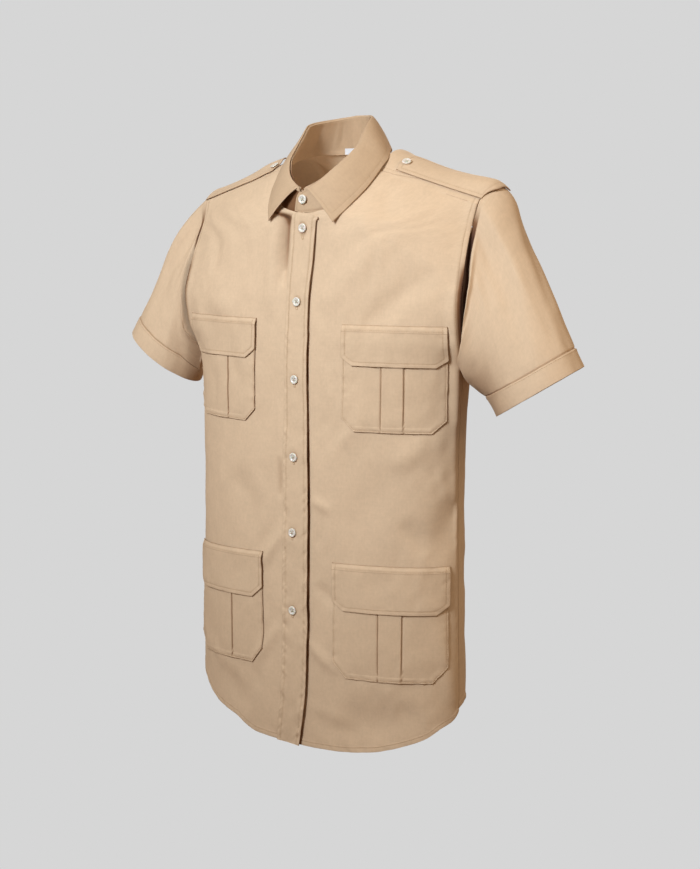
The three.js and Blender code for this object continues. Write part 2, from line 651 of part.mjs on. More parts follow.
// Patch pockets with a box pleat, and the flap over each
const POCKET_GRID = { sides: 4, rows: 7, flapColumns: 8, flapRows: 3, flapRise: 4 };
const PATCH = { lift: 0.9, mouth: 9, pleatRise: 1.1, fold: 0.6 };
const FLAP = { lift: 0.7, over: 3.5, rise: 9 };
// Side limits of a patch at a height over its lower edge, with its lower corners cut off.
function cornered(near, far, cut, over) {
  const inset = cut[0] * max(0, 1 - over / cut[1]);
  return [near + inset, far - inset];
}
function onPocket(pocket, d, h, lift) {
  return frontAt(pocket.side * d, h + pocket.tilt * (d - pocket.near), lift);
}
function patchPocket(pocket) {
  const tall = pocket.height - PATCH.mouth;
  const low = pocket.top - pocket.height;
  const [p0, p1] = pocket.pleat;
  const rows = [0, pocket.cut[1] / 2, ...spread(pocket.cut[1], tall, POCKET_GRID.rows)];
  const place = (i, over) => {
    const [a, b] = cornered(pocket.near, pocket.far, pocket.cut, over);
    const before = spread(a, p0 - PATCH.fold, POCKET_GRID.sides);
    return [...before, p0, (p0 + p1) / 2, p1, ...spread(p1 + PATCH.fold, b, POCKET_GRID.sides)][i];
  };
  const firstOfPleat = POCKET_GRID.sides + 1;
  const pleat = (i) => (i >= firstOfPleat && i <= firstOfPleat + 2 ? PATCH.pleatRise : 0);
  const columns = Array.from({ length: 2 * POCKET_GRID.sides + 5 }, (_, i) => i);
  return between(
    (i, over) => onPocket(pocket, place(i, over), low + over, PATCH.lift + CLOTH + pleat(i)),
    (i, over) => onPocket(pocket, place(i, over), low + over, PATCH.lift),
    columns,
    rows,
  );
}
function flap(pocket) {
  const low = pocket.top - pocket.flap;
  const rows = [0, pocket.flapCut[1] / 2, ...spread(pocket.flapCut[1], pocket.flap - FLAP.rise, POCKET_GRID.flapRows)];
  rows.push(...spread(pocket.flap - FLAP.rise, pocket.flap, POCKET_GRID.flapRise).slice(1));
  const place = (u, over) => {
    const [a, b] = cornered(pocket.near - 1, pocket.far + 1, pocket.flapCut, over);
    return a + (b - a) * u;
  };
  const lift = (over) => FLAP.lift + (FLAP.over - FLAP.lift) * smooth((pocket.flap - over) / FLAP.rise);
  return between(
    (u, over) => onPocket(pocket, place(u, over), low + over, lift(over) + CLOTH),
    (u, over) => onPocket(pocket, place(u, over), low + over, lift(over)),
    spread(0, 1, POCKET_GRID.flapColumns),
    rows,
  );
}
for (const [name, pocket] of Object.entries(POCKETS)) {
  add("pocket_" + name, patchPocket(pocket), "trim");
  add("flap_" + name, flap(pocket), "trim");
}

// Shoulder straps, sewn into the sleeve seam and buttoned near the neck
const STRAP_SHAPE = [
  { w: 0.994, from: 3, wide: 60 },
  { w: 0.75, from: 4, wide: 54 },
  { w: 0.5, from: 5, wide: 45 },
  { w: 0.45, from: 7, wide: 41 },
];
const STRAP_LIFT = 0.9;
const STRAP_POINT = { long: 0.045, run: 5, sharp: 0.8 }; // the pointed end, long as a share of the yoke
const STRAP_GRID = { columns: 12, rows: 6 };
// Lengths from the front edge of the yoke over the shoulder at a share of its width.
function acrossYoke(w) {
  const steps = 30;
  const lengths = [0];
  let before = yoke(w, 0);
  for (let i = 1; i <= steps; i++) {
    const p = yoke(w, i / steps);
    lengths.push(lengths[i - 1] + p.distanceTo(before));
    before = p;
  }
  return lengths;
}
function yokeShare(w, distance) {
  const lengths = acrossYoke(w);
  let i = 0;
  while (i < lengths.length - 2 && lengths[i + 1] < distance) i++;
  return (i + (distance - lengths[i]) / (lengths[i + 1] - lengths[i])) / (lengths.length - 1);
}
function strapPlace(u, v) {
  const first = STRAP_SHAPE[0].w;
  const last = STRAP_SHAPE[STRAP_SHAPE.length - 1].w;
  const w = first + (last - first) * u;
  const rows = STRAP_SHAPE.slice().reverse();
  const distance = column(rows, "w", "from", w) + v * column(rows, "w", "wide", w);
  const pointed = 1 - smooth(abs(v - 0.5) * 2);
  const nearEnd = max(0, 1 - (1 - u) * STRAP_POINT.run);
  const end = w - STRAP_POINT.long * nearEnd * (1 - STRAP_POINT.sharp + STRAP_POINT.sharp * pointed);
  return [end, yokeShare(end, distance)];
}
function strap(side) {
  const at = (u, v, lift) => {
    const [w, t] = strapPlace(u, v);
    return yoke(side * w, t, STRAP_LIFT + lift);
  };
  return between(
    (u, v) => at(u, v, DOUBLE),
    (u, v) => at(u, v, 0),
    spread(0, 1, STRAP_GRID.columns),
    spread(0, 1, STRAP_GRID.rows),
  );
}
add("strap_left", strap(1), "trim");
add("strap_right", strap(-1), "trim");

// Plain label at the back of the neck
const LABEL = { half: 19, low: 0.02, high: 0.2, gap: 0.4, thick: 0.8, columns: 6 };
function labelPoint(u, v, gap) {
  const turn = 180 - LABEL.half + 2 * LABEL.half * u;
  const p = neckPoint(turn, LABEL.low + (LABEL.high - LABEL.low) * v);
  return p.addScaledVector(awayFromNeck(p), -STAND.thick - gap);
}
add(
  "neck_label",
  between(
    (u, v) => labelPoint(u, v, LABEL.gap),
    (u, v) => labelPoint(u, v, LABEL.gap + LABEL.thick),
    spread(0, 1, LABEL.columns),
    [0, 1],
  ),
  "label",
);

// Four-hole buttons: a rimmed disc turned on a lathe
const manifold = await Module();
manifold.setup();
const BUTTON_HALF = 5.9;
const BUTTON_SIDES = 13;
const BUTTON_HOLE = { half: 0.85, out: 1.35, deep: 8, sides: 5 };
const BUTTON_PROFILE = [
  { r: 0, y: 0 },
  { r: 3.6, y: 0 },
  { r: 5.4, y: 0.5 },
  { r: BUTTON_HALF, y: 1.2 },
  { r: 5.5, y: 2.2 },
  { r: 4.4, y: 2.4 },
  { r: 3.4, y: 1.7 },
  { r: 0, y: 1.6 },
];
function asManifold(g) {
  const merged = mergeVertices(g.toNonIndexed().deleteAttribute("normal").deleteAttribute("uv"), 1e-4);
  return new manifold.Manifold(
    new manifold.Mesh({
      numProp: 3,
      vertProperties: Float32Array.from(merged.attributes.position.array),
      triVerts: Uint32Array.from(merged.index.array),
    }),
  );
}
const buttonShape = (() => {
  const disc = new THREE.LatheGeometry(BUTTON_PROFILE.map((q) => new THREE.Vector2(q.r, q.y)), BUTTON_SIDES);
  let solid = asManifold(disc);
  for (const [x, z] of [[1, 1], [1, -1], [-1, 1], [-1, -1]]) {
    const hole = new THREE.CylinderGeometry(BUTTON_HOLE.half, BUTTON_HOLE.half, BUTTON_HOLE.deep, BUTTON_HOLE.sides);
    hole.translate(x * BUTTON_HOLE.out, 0, z * BUTTON_HOLE.out);
    solid = solid.subtract(asManifold(hole));
  }
  const m = solid.getMesh();
  const g = new THREE.BufferGeometry();
  g.setAttribute("position", new THREE.Float32BufferAttribute(Array.from(m.vertProperties), 3));
  g.setIndex(Array.from(m.triVerts));
  return g;
})();
function addButton(name, at, out, upward) {
  const y = out.clone().normalize();
  const x = upward.clone().cross(y).normalize();
  const z = x.clone().cross(y);
  const turned = buttonShape.clone().applyMatrix4(new THREE.Matrix4().makeBasis(x, y, z).setPosition(at));
  add(name, turned, "button");
}
const BUTTON_GAP = 0.5;
const UP = V(0, 0, 1);
// Places of the placket's buttons on the cloth: distance from the centre line, and height
const PLACKET_BUTTONS = [
  { d: 4.5, h: -115.5 },
  { d: 0.5, h: -189.5 },
  { d: 1, h: -288 },
  { d: 1, h: -388 },
  { d: 0, h: -487 },
  { d: -0.5, h: -591 },
];
PLACKET_BUTTONS.forEach(({ d, h }, i) => {
  const edge = (name) => column(PLACKET_EDGES, "h", name, h);
  const u = (d - edge("right")) / (edge("left") - edge("right"));
  const lift = PLACKET_LIFT + CLOTH + edge("proud") * u * u + BUTTON_GAP;
  const p = frontAt(d, h, lift);
  const out = frontAt(d, h, lift + 1).sub(p);
  addButton("button_" + (i + 2), p, out, UP);
});
const STAND_BUTTON = { turn: -356.5, v: 0.6, extra: 0.4 };
{
  const u = (STAND.end - STAND_BUTTON.turn) / STAND_TURN;
  const p = standPoint(u, STAND_BUTTON.v);
  const out = normalOf(standPoint, u, STAND_BUTTON.v, 0.004, 0.05);
  if (out.y > 0) out.negate();
  addButton("button_1", p.addScaledVector(out, BUTTON_GAP + STAND_BUTTON.extra), out, UP);
}
const STRAP_BUTTON = { u: 0.9, v: 0.5 };
for (const [name, side] of [["left", 1], ["right", -1]]) {
  const [w, t] = strapPlace(STRAP_BUTTON.u, STRAP_BUTTON.v);
  const lift = STRAP_LIFT + DOUBLE + BUTTON_GAP;
  const p = yoke(side * w, t, lift);
  addButton("strap_button_" + name, p, yoke(side * w, t, lift + 1).sub(p), V(0, 1, 0));
}
export default shirt;
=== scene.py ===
"""A short-sleeved cotton twill work shirt, standing open as if worn, in the frame of its CAD model.

Every piece of cloth is a thin shell on its own solid, with its folds, stitched edges and puckers as shape.
Sizes are in millimetres until a mesh is made. The wearer faces -Y, +Z is up, the wearer's left is +X.
"""
import math

import bpy
import numpy as np
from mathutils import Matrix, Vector


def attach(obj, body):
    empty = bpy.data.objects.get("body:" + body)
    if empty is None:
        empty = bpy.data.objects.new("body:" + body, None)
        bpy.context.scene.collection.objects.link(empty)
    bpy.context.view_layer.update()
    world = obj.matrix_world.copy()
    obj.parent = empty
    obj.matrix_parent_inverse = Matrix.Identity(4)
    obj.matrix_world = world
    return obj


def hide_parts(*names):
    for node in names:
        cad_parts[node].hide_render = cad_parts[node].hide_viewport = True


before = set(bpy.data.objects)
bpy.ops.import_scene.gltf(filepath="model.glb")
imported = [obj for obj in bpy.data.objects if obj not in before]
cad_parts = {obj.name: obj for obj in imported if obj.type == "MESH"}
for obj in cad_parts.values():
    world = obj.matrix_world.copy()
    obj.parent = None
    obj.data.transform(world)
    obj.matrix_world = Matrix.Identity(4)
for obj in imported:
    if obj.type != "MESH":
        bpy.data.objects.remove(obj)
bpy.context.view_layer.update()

MM = 0.001

# Driving sizes, the same as the solids have
CLOTH = 1.0
DOUBLE = 1.6
SEAM_GAP = 0.35
UNDERARM = -268
NECK_ROW = -95
BACK_YOKE = -97
NECK_SHARE = 0.36
YOKE_SIDE_TURN = 85
OVERLAP_EDGE = 7

FRONT_HEM = [(-1, -694), (-0.9, -713), (-0.74, -737), (-0.62, -750), (-0.45, -758), (-0.27, -771), (0, -772),
             (0.3, -770), (0.5, -764), (0.65, -754), (0.8, -740), (0.88, -727), (0.95, -719), (1, -708)]
BACK_HEM = [(0, -768), (0.45, -762), (0.65, -743), (0.8, -710), (0.9, -699), (1, -704)]
# Height of a row, its start (y, z), its end (x, y, z) and the turn of its arc in degrees
FRONT_ROWS = [
    (-790, -90.5, -790, 206, -12, -790, 90),
    (-700, -89.5, -700, 207, -12, -700, 90),
    (-600, -88.5, -600, 205, -12, -600, 90),
    (-500, -87.5, -500, 203, -12, -500, 90),
    (-400, -85.5, -400, 202, -12, -400, 90),
    (-330, -83.5, -330, 203.5, -12, -330, 90),
    (-268, -81.5, -268, 208, -12, -268, 90),
    (-230, -79.5, -230, 216, -32, -230, 76),
    (-190, -76.5, -190, 218, -38, -190, 66),
    (-143, -70.5, -136, 217, -31, -155, 56),
    (-95, -67, -80, 214, -19, -122, 45),
    (-48, -67, -80, 212.5, -5, -93, 35),
    (0, -67, -80, 215, 4, -66, 26),
]
# The same for the level rows of the back: height, start y, end x and y, turn
BACK_ROWS = [
    (-790, 96, 206, -12, 90),
    (-700, 96, 207, -12, 90),
    (-600, 96, 205, -12, 90),
    (-500, 94, 203, -12, 90),
    (-400, 92, 202, -12, 90),
    (-330, 94, 203.5, -12, 90),
    (-268, 99, 208, -12, 90),
    (-230, 103, 216, 30, 80),
    (-190, 106, 219, 52, 72),
    (-150, 106, 221, 64, 64),
    (-97, 101, 222, 68, 56),
]
# Neck seam and collar fold: half width, half depth, middle, and height by degrees from the centre front
NECK_RING = (74, 67, 1)
NECK_HEIGHTS = [(0, -79), (30, -71), (60, -48), (85, -24), (110, -9), (140, -2), (180, -2)]
FOLD_RING = (46.5, 60, -5)
FOLD_LEFT = [(0, -51), (25, -41), (50, -23), (75, -4), (86, 5), (100, 24), (115, 36), (130, 41.5), (150, 43),
             (180, 43.5)]
FOLD_RIGHT = [(0, -51), (20, -41), (40, -29.5), (55, -17), (65, -10), (75, -3), (85, 6.6), (95, 18),
              (105, 30.5), (120, 34.7), (150, 39.5), (180, 43.5)]
# Free edge of the fall by degrees from the centre front: half width, depth and height
FALL_EDGE = [(4, 51, -70, -88), (30, 65, -53, -68), (60, 78, -29, -43), (90, 84, 4, -14), (120, 67, 42, 2),
             (150, 40, 72, -3), (180, 0, 82, -6)]
# Height, right and left edge of the placket, and how proud its left edge stands
PLACKET_EDGES = [(-780, -28, 11, 1.2), (-700, -20.5, 22, 1.5), (-600, -18, 25, 1.5), (-480, -17.5, 25, 1.5),
                 (-290, -17, 21, 1), (-190, -17, 18.5, 1), (-96, -14, 25, 0.4)]

# Middle of each sleeve's end, its half sizes and the degrees that it falls. How the sleeve leaves the armhole
# and reaches its end. The tilt and the flatter underside of the end, the fuller top (rise, place, width), the
# sag of the underside (depth, place) and the shade below.
SLEEVE_HEMS = {
    "left": dict(x=304, y=0, z=-291, wide=66, deep=50, fall=59, side=1, along=0.42, leave=0.5, arrive=0.8,
                 tilt=7, low=0.13, full=(5.5, 30, 30), sag=(18.5, 0.45), shade=0.4),
    "right": dict(x=288, y=0, z=-285, wide=64, deep=50, fall=57, side=-1, along=0.66, leave=0.72, arrive=0.8,
                  tilt=-9, low=0.1, full=(7, 75, 38), sag=(13, 0.16), shade=0),
}
# Near and far edge of each patch from the centre line, top, height, tilt and cut corners, then the depth and
# cut corners of its flap, and both edges of its pleat strip
POCKETS = {
    "chest_left": dict(near=71, far=207, top=-214.5, height=133.5, tilt=0.012, cut=(18, 16), flap=51,
                       flap_cut=(15, 10), pleat=(125, 153), side=1),
    "chest_right": dict(near=67, far=203, top=-213.5, height=135.5, tilt=-0.012, cut=(18, 17), flap=52,
                        flap_cut=(16, 12), pleat=(121, 149), side=-1),
    "lower_left": dict(near=61, far=214, top=-518.5, height=151.5, tilt=0.025, cut=(19, 21), flap=62,
                       flap_cut=(17, 11), pleat=(125, 155), side=1),
    "lower_right": dict(near=52.5, far=204, top=-519.5, height=153.5, tilt=-0.075, cut=(19, 21), flap=63,
                        flap_cut=(18, 14), pleat=(113, 143), side=-1),
}

# Soft folds, from one place on the cloth to another: distance from the centre line and height at each end,
# half width and rise. The first of each list are in the solids too.
FRONT_FOLDS = [
    (-36, -110, -30, -200, 10, -3),
    (-46, -95, -40, -200, 14, 3),
    (30, -105, 24, -230, 12, -2.5),
    (60, -120, 100, -60, 22, 2),
    (185, -130, 150, -190, 20, 2.5),
    (-150, -150, -120, -220, 20, 2),
    (90, -470, 140, -400, 26, -2.5),
    (-70, -700, -40, -600, 24, -2),
    (60, -740, 150, -700, 24, -2.5),
    (-110, -420, -60, -480, 26, -2.5),
]
BACK_FOLDS = [
    (60, -200, 40, -640, 22, -7),
    (-66, -210, -48, -600, 24, -7),
    (130, -300, 120, -700, 24, -5),
    (-128, -280, -124, -720, 25, -5),
    (170, -180, 90, -300, 20, 4.5),
    (-170, -190, -92, -290, 20, 4.5),
]
# Smaller creases of the cloth alone
FRONT_CREASES = [
    (131, -92, 50, -185, 18, 3.2),
    (182, -142, 108, -212, 18, -5),
    (-24, -86, -27, -165, 6.5, -4.5),
    (-25, -396, -24, -438, 6, -2.4),
    (-50, -534, -22, -493, 7, 2.4),
    (-60, -516, -32, -478, 8, -1.3),
    (29, -441, 54, -452, 7, 2),
    (218, -438, 200, -500, 20, -4),
    (228, -400, 233, -520, 8, 2.5),
    (144, -387, 192, -354, 16, 2.2),
    (160, -463, 182, -492, 14, -2.2),
    (26, -632, 62, -662, 8, 2.2),
    (-28, -620, -70, -676, 9, 2.6),
    (-163, -98, -158, -148, 10, -2.2),
    (215, -165, 221, -330, 9, 3),
    (219, -270, 224, -430, 7, 2.2),
    (234, -258, 232, -450, 9, -5),
    (35, -45, 100, -105, 9, 1.6),
    (34, -20, 80, -60, 9, -1.6),
    (40, -554, 62, -574, 8, -2),
    (-160, -195, -114, -207, 14, 1.8),
    (204, -600, 224, -690, 12, 2),
    (86, -746, 172, -712, 24, -3),
    (-136, -700, -86, -734, 22, -2.6),
    (40, -260, 62, -330, 12, 1),
    (-190, -200, -150, -280, 16, 1.4),
    (-215, -250, -190, -340, 14, -1.4),
    (-60, -240, -64, -330, 12, 1),
    (-38, -300, -60, -380, 12, -1),
    (-232, -420, -226, -560, 14, 1.6),
    (-90, -400, -150, -440, 16, 1.4),
    (30, -715, 90, -730, 10, 1.2),
    (-100, -700, -180, -660, 14, 1.3),
    (100, -330, 64, -380, 12, 1.1),
]
CREASE_STRENGTH = 1.3
# The folds whose depth also holds a shadow
SHADED_FOLDS = [
    (-22, -74, -26, -150, 4.2, 0.8),
    (-17, -72, -22, -104, 6.5, 1.1),
    (-30, -84, -34, -140, 7, 0.2),
    (-24, -396, -24, -438, 4, 0.3),
]
BACK_CREASES = [
    (10, -150, 6, -330, 13, 2),
    (-24, -340, -12, -560, 14, 1.6),
    (100, -260, 74, -430, 13, 1.8),
    (-104, -250, -88, -470, 14, 1.9),
    (190, -300, 176, -420, 13, 2),
    (-196, -310, -170, -440, 12, 1.7),
    (210, -520, 196, -660, 15, -1.8),
    (-208, -500, -200, -640, 14, -1.6),
    (20, -700, 90, -730, 12, 1.5),
    (-30, -710, -110, -716, 11, 1.3),
    (150, -120, 196, -210, 12, 1.6),
    (-148, -118, -200, -200, 13, 1.5),
    (80, -560, 140, -600, 12, 1.2),
    (-150, -580, -90, -610, 12, -1.2),
]


def smooth(t):
    t = np.clip(t, 0, 1)
    return t * t * (3 - 2 * t)


def unit(v):
    return v / np.maximum(np.linalg.norm(v, axis=-1, keepdims=True), 1e-9)


def bell(x, width):
    """1 where x is 0, fading to nothing within about twice the width on either side."""
    return np.exp(-((x / width) ** 2))


def floats(*parts):
    """Numbers and arrays as arrays of one shape."""
    return np.broadcast_arrays(*[np.asarray(part, float) for part in parts])


def vec(x, y, z):
    return np.stack(np.broadcast_arrays(x, y, z), axis=-1).astype(float)


def curve(keys, values):
    """A smooth line through the rows of a table, which never overshoots them."""
    k, v = np.array(keys, float), np.array(values, float)
    rate = np.diff(v) / np.diff(k)
    p, q = rate[:-1], rate[1:]
    same = p * q > 0
    bend = np.where(same, 2 * p * q / np.where(same, p + q, 1), 0)
    slope = np.concatenate([rate[:1], bend, rate[-1:]])

    def value(x):
        x = np.asarray(x, float)
        i = np.clip(np.searchsorted(k, x) - 1, 0, len(k) - 2)
        step = k[i + 1] - k[i]
        t = (x - k[i]) / step
        return (
            (2 * t**3 - 3 * t**2 + 1) * v[i]
            + (t**3 - 2 * t**2 + t) * step * slope[i]
            + (3 * t**2 - 2 * t**3) * v[i + 1]
            + (t**3 - t**2) * step * slope[i + 1]
        )

    return value


def curves(rows):
    columns = list(zip(*rows))
    return [curve(columns[0], c) for c in columns[1:]]


def wander(x, seed):
    """An uneven smooth line between -1 and 1, alike in every run."""
    i = np.floor(x).astype(int)
    t = smooth(x - i)

    def at(n):
        s = np.sin(n * 127.1 + seed * 311.7) * 43758.5453
        return 2 * (s - np.floor(s)) - 1

    return at(i) * (1 - t) + at(i + 1) * t


def rumpled(x, y, seed):
    """The soft unevenness of cloth that has been worn and pressed."""
    wide = wander(x / 27 + y / 95, seed) * wander(y / 41 - x / 120, seed + 1)
    fine = wander(x / 11 - y / 60, seed + 2) * wander(y / 19 + x / 50, seed + 3)
    return 1.4 * wide + 0.7 * fine


# Rows of the fronts and the back
FRONT_CURVES = curves(FRONT_ROWS)
BACK_CURVES = curves(BACK_ROWS)
neck_height = curve(*zip(*NECK_HEIGHTS))
fold_left = curve(*zip(*FOLD_LEFT))
fold_right = curve(*zip(*FOLD_RIGHT))
front_hem = curve(*zip(*FRONT_HEM))
back_hem = curve(*zip(*BACK_HEM))
placket_right, placket_left, placket_proud = curves(PLACKET_EDGES)


def ring(shape, turn):
    wide, deep, middle = shape
    a = np.radians(turn)
    level = np.abs(turn) % 360
    return wide * np.sin(a), middle - deep * np.cos(a), np.minimum(level, 360 - level)


def neck_ring(turn):
    x, y, level = ring(NECK_RING, turn)
    return vec(x, y, neck_height(level))


def fold_ring(turn, right=None):
    """The collar's fold. It runs lower in front and steps up behind, a little differently on each side."""
    x, y, level = ring(FOLD_RING, turn)
    right = np.sin(np.radians(turn)) < 0 if right is None else right
    wider = np.where(right, 0, 2 * bell(level - 125, 25))
    return vec(x + wider, y, np.where(right, fold_right(level), fold_left(level)))


def row_ends(kind, h):
    if kind == "back":
        sy, ex, ey, turn = (c(h) for c in BACK_CURVES)
        return vec(0 * h, sy, h), vec(ex, ey, h), np.radians(turn)
    sy, sz, ex, ey, ez, turn = (c(h) for c in FRONT_CURVES)
    round_neck = neck_ring(YOKE_SIDE_TURN * (h - NECK_ROW) / -NECK_ROW)
    start = np.where((h > NECK_ROW)[..., None], round_neck, vec(0 * h, sy, sz))
    return start, vec(ex, ey, ez), np.radians(turn)


def arc_point(start, end, last, share):
    a = last * share
    along = np.sin(a) / np.sin(last)
    bulge = (np.cos(a) - np.cos(last)) / (1 - np.cos(last))
    x = start[..., 0] + (end[..., 0] - start[..., 0]) * along
    y = end[..., 1] - (end[..., 1] - start[..., 1]) * bulge
    z = start[..., 2] + (end[..., 2] - start[..., 2]) * along
    return vec(x, y, z)


HEIGHTS = np.arange(-800, 1.0)
SHARES = np.linspace(0, 1, 65)


def measured(kind, steps=160):
    """Length of each row, and the share of its turn at each share of its length."""
    start, end, last = row_ends(kind, HEIGHTS)
    t = np.linspace(0, 1, steps + 1)
    p = arc_point(start[:, None], end[:, None], last[:, None], t)
    run = np.linalg.norm(np.diff(p, axis=1), axis=2).cumsum(axis=1)
    run = np.pad(run, ((0, 0), (1, 0)))
    return run[:, -1], np.array([np.interp(SHARES * r[-1], r, t) for r in run])


ROWS = {kind: measured(kind) for kind in ("front", "back")}


def row_length(kind, h):
    return np.interp(h, HEIGHTS, ROWS[kind][0])


def plain(kind, f, h):
    """A point of the plain front or back: f is the share of the row, negative on the wearer's right."""
    f, h = floats(f, h)
    turn = ROWS[kind][1]
    y = np.clip(h - HEIGHTS[0], 0, len(HEIGHTS) - 1.001)
    x = np.clip(np.abs(f), 0, 1) * (len(SHARES) - 1.001)
    j, i = y.astype(int), x.astype(int)
    v, u = y - j, x - i
    low = turn[j, i] * (1 - u) + turn[j, i + 1] * u
    high = turn[j + 1, i] * (1 - u) + turn[j + 1, i + 1] * u
    start, end, last = row_ends(kind, h)
    p = arc_point(start, end, last, low * (1 - v) + high * v)
    p[..., 0] *= np.where(f < 0, -1, 1)
    return p


def fold_rise(folds, d, h):
    """The rise of soft folds at a distance from the centre line and a height."""
    rise = np.zeros(np.broadcast(d, h).shape)
    for d0, h0, d1, h1, half, high in folds:
        run = np.array([d1 - d0, h1 - h0], float)
        t = ((d - d0) * run[0] + (h - h0) * run[1]) / (run @ run)
        c = np.clip(t, 0, 1)
        away = np.hypot(d - d0 - run[0] * c, h - h0 - run[1] * c)
        rise = rise + high * bell(away, half) * np.sin(np.pi * np.clip((t + 0.25) / 1.5, 0, 1))
    return rise


def normals_of(surface, u, v, du, dv):
    a = surface(u + du, v) - surface(u - du, v)
    b = surface(u, v + dv) - surface(u, v - dv)
    return unit(np.cross(a, b))


EDGE_SHARE = 0.985
HEIGHT_STEP = 1.5
SOFTEN = ((-1, 0.12), (-0.5, 0.23), (0, 0.3), (0.5, 0.23), (1, 0.12))


def soft_plain(kind, f, h):
    """The plain front or back, with the front's rows blended into each other below the neck."""
    if kind == "back":
        return plain(kind, f, h)
    spread = 34 * bell(h - NECK_ROW, 34) * smooth(np.abs(f) / 0.3)
    return sum(weight * plain(kind, f, np.minimum(h + spread * by, 0)) for by, weight in SOFTEN)


def body_point(kind, f, h, lift):
    side = 1 if kind == "front" else -1
    highest = -HEIGHT_STEP if kind == "front" else BACK_YOKE - HEIGHT_STEP
    g = np.clip(f, -EDGE_SHARE, EDGE_SHARE)
    below_seam = np.minimum(h, highest)
    out = normals_of(lambda a, b: soft_plain(kind, a, b), g, below_seam, 0.004, HEIGHT_STEP) * side
    d = f * row_length(kind, h)
    edge = smooth((1 - np.abs(f)) / 0.12)
    folds = FRONT_FOLDS if kind == "front" else BACK_FOLDS
    creases = FRONT_CREASES if kind == "front" else BACK_CREASES
    near_seam = smooth((1 - np.abs(f)) / 0.035)
    rise = fold_rise(folds, d, h) * edge + fold_rise(creases, d, h) * CREASE_STRENGTH * near_seam
    rise = rise + rumpled(d, h, 7 if kind == "front" else 17) * edge
    return soft_plain(kind, f, h) + out * (lift + rise)[..., None]


def front(f, h, lift=0.0):
    f, h, lift = floats(f, h, lift)
    return body_point("front", f, h, lift)


def back(f, h, lift=0.0):
    f, h, lift = floats(f, h, lift)
    return body_point("back", f, h, lift)


def front_at(d, h, lift=0.0):
    return front(d / row_length("front", h), h, lift)


def placket_middle(h):
    return -9 * smooth((-h - 520) / 260)


# Yoke: by share of the way to the armhole, the angle and reach with which it leaves the front edge, and the
# reach up from the back edge
YOKE_PROFILE = [(0, -62, 30, 34), (0.2, -20, 30, 62), (0.36, 40, 56, 92), (0.5, 42, 58, 86),
                (0.75, 44, 54, 72), (1, 50, 51, 62)]
yoke_rise, yoke_reach, yoke_drop = curves(YOKE_PROFILE)
BACK_SETBACK = 3
RIGHT_SHOULDER_DROP = 3
RIGHT_END_DROP = 9
LEFT_SHOULDER_RISE = 5
SEAM_BACK = 12
YOKE_LONG = 160.0


def bezier(a, b, c, d, t):
    t = t[..., None]
    q = 1 - t
    return q**3 * a + 3 * q * q * t * b + 3 * q * t * t * c + t**3 * d


def yoke_plain(w, t):
    w, t = floats(w, t)
    s = np.abs(w)
    side = np.where(w < 0, -1, 1)
    by_neck = neck_ring(180 - (180 - YOKE_SIDE_TURN) * s / NECK_SHARE)
    by_front = plain("front", np.clip((s - NECK_SHARE) / (1 - NECK_SHARE), 0, 1), 0 * s)
    a = np.where((s <= NECK_SHARE)[..., None], by_neck, by_front)
    a[..., 0] = np.abs(a[..., 0]) * side
    d = plain("back", w, 0 * w + BACK_YOKE)
    rise = np.radians(yoke_rise(s))
    b = a + vec(0 * s, yoke_reach(s) * np.cos(rise), yoke_reach(s) * np.sin(rise))
    c = d + vec(0 * s, 0 * s + BACK_SETBACK, yoke_drop(s))
    p = bezier(a, b, c, d, t)
    over = np.sin(np.pi * np.clip(t, 0, 1))
    fuller = LEFT_SHOULDER_RISE * bell(s - 0.44, 0.15) + 4.5 * bell(s - 0.36, 0.05)
    lower = RIGHT_SHOULDER_DROP * np.sin(np.pi * s)
    lower = lower + RIGHT_END_DROP * smooth((s - 0.6) / 0.4)
    p[..., 2] += over * np.where(w < 0, -lower, fuller)
    return p


def seam_share(w):
    """How far behind the yoke's front edge its seam runs, as a share of the way over the shoulder."""
    f = (np.abs(w) - NECK_SHARE) / (1 - NECK_SHARE)
    return (0.6 + SEAM_BACK * smooth((f - 0.1) / 0.55)) / YOKE_LONG


def yoke(w, t, lift=0.0):
    w, t, lift = floats(w, t, lift)
    n = normals_of(yoke_plain, np.clip(w, -0.99, 0.99), np.clip(t, 0.01, 0.99), 0.004, 0.004)
    return yoke_plain(w, t) + n * lift[..., None]


# Sleeves
SLEEVE_START = 0.5
SLEEVE_FORWARD = 0.09
NEAR_EDGE = 0.97
BAND_FROM = 0.862
# Degrees round the sleeve from the underarm and share of its length at both ends, half width, rise
SLEEVE_FOLDS = [
    (200, 0.1, 172, 0.7, 12, -4),
    (150, 0.3, 120, 0.9, 16, 2.5),
    (60, 0.1, 40, 0.8, 14, -3.5),
    (300, 0.1, 320, 0.8, 14, -3.5),
    (240, 0.4, 225, 1, 16, 2.5),
]
SLEEVE_CREASES = [
    (100, 0.05, 84, 0.5, 9, 1.6),
    (128, 0.02, 118, 0.35, 8, -1.5),
    (75, 0.35, 62, 0.95, 9, 1.4),
    (30, 0.1, 50, 0.5, 8, 1.5),
    (270, 0.05, 262, 0.6, 10, 1.7),
    (330, 0.1, 300, 0.6, 9, 1.5),
    (215, 0.02, 225, 0.35, 8, 1.3),
    (175, 0.45, 160, 0.95, 12, 1.1),
]


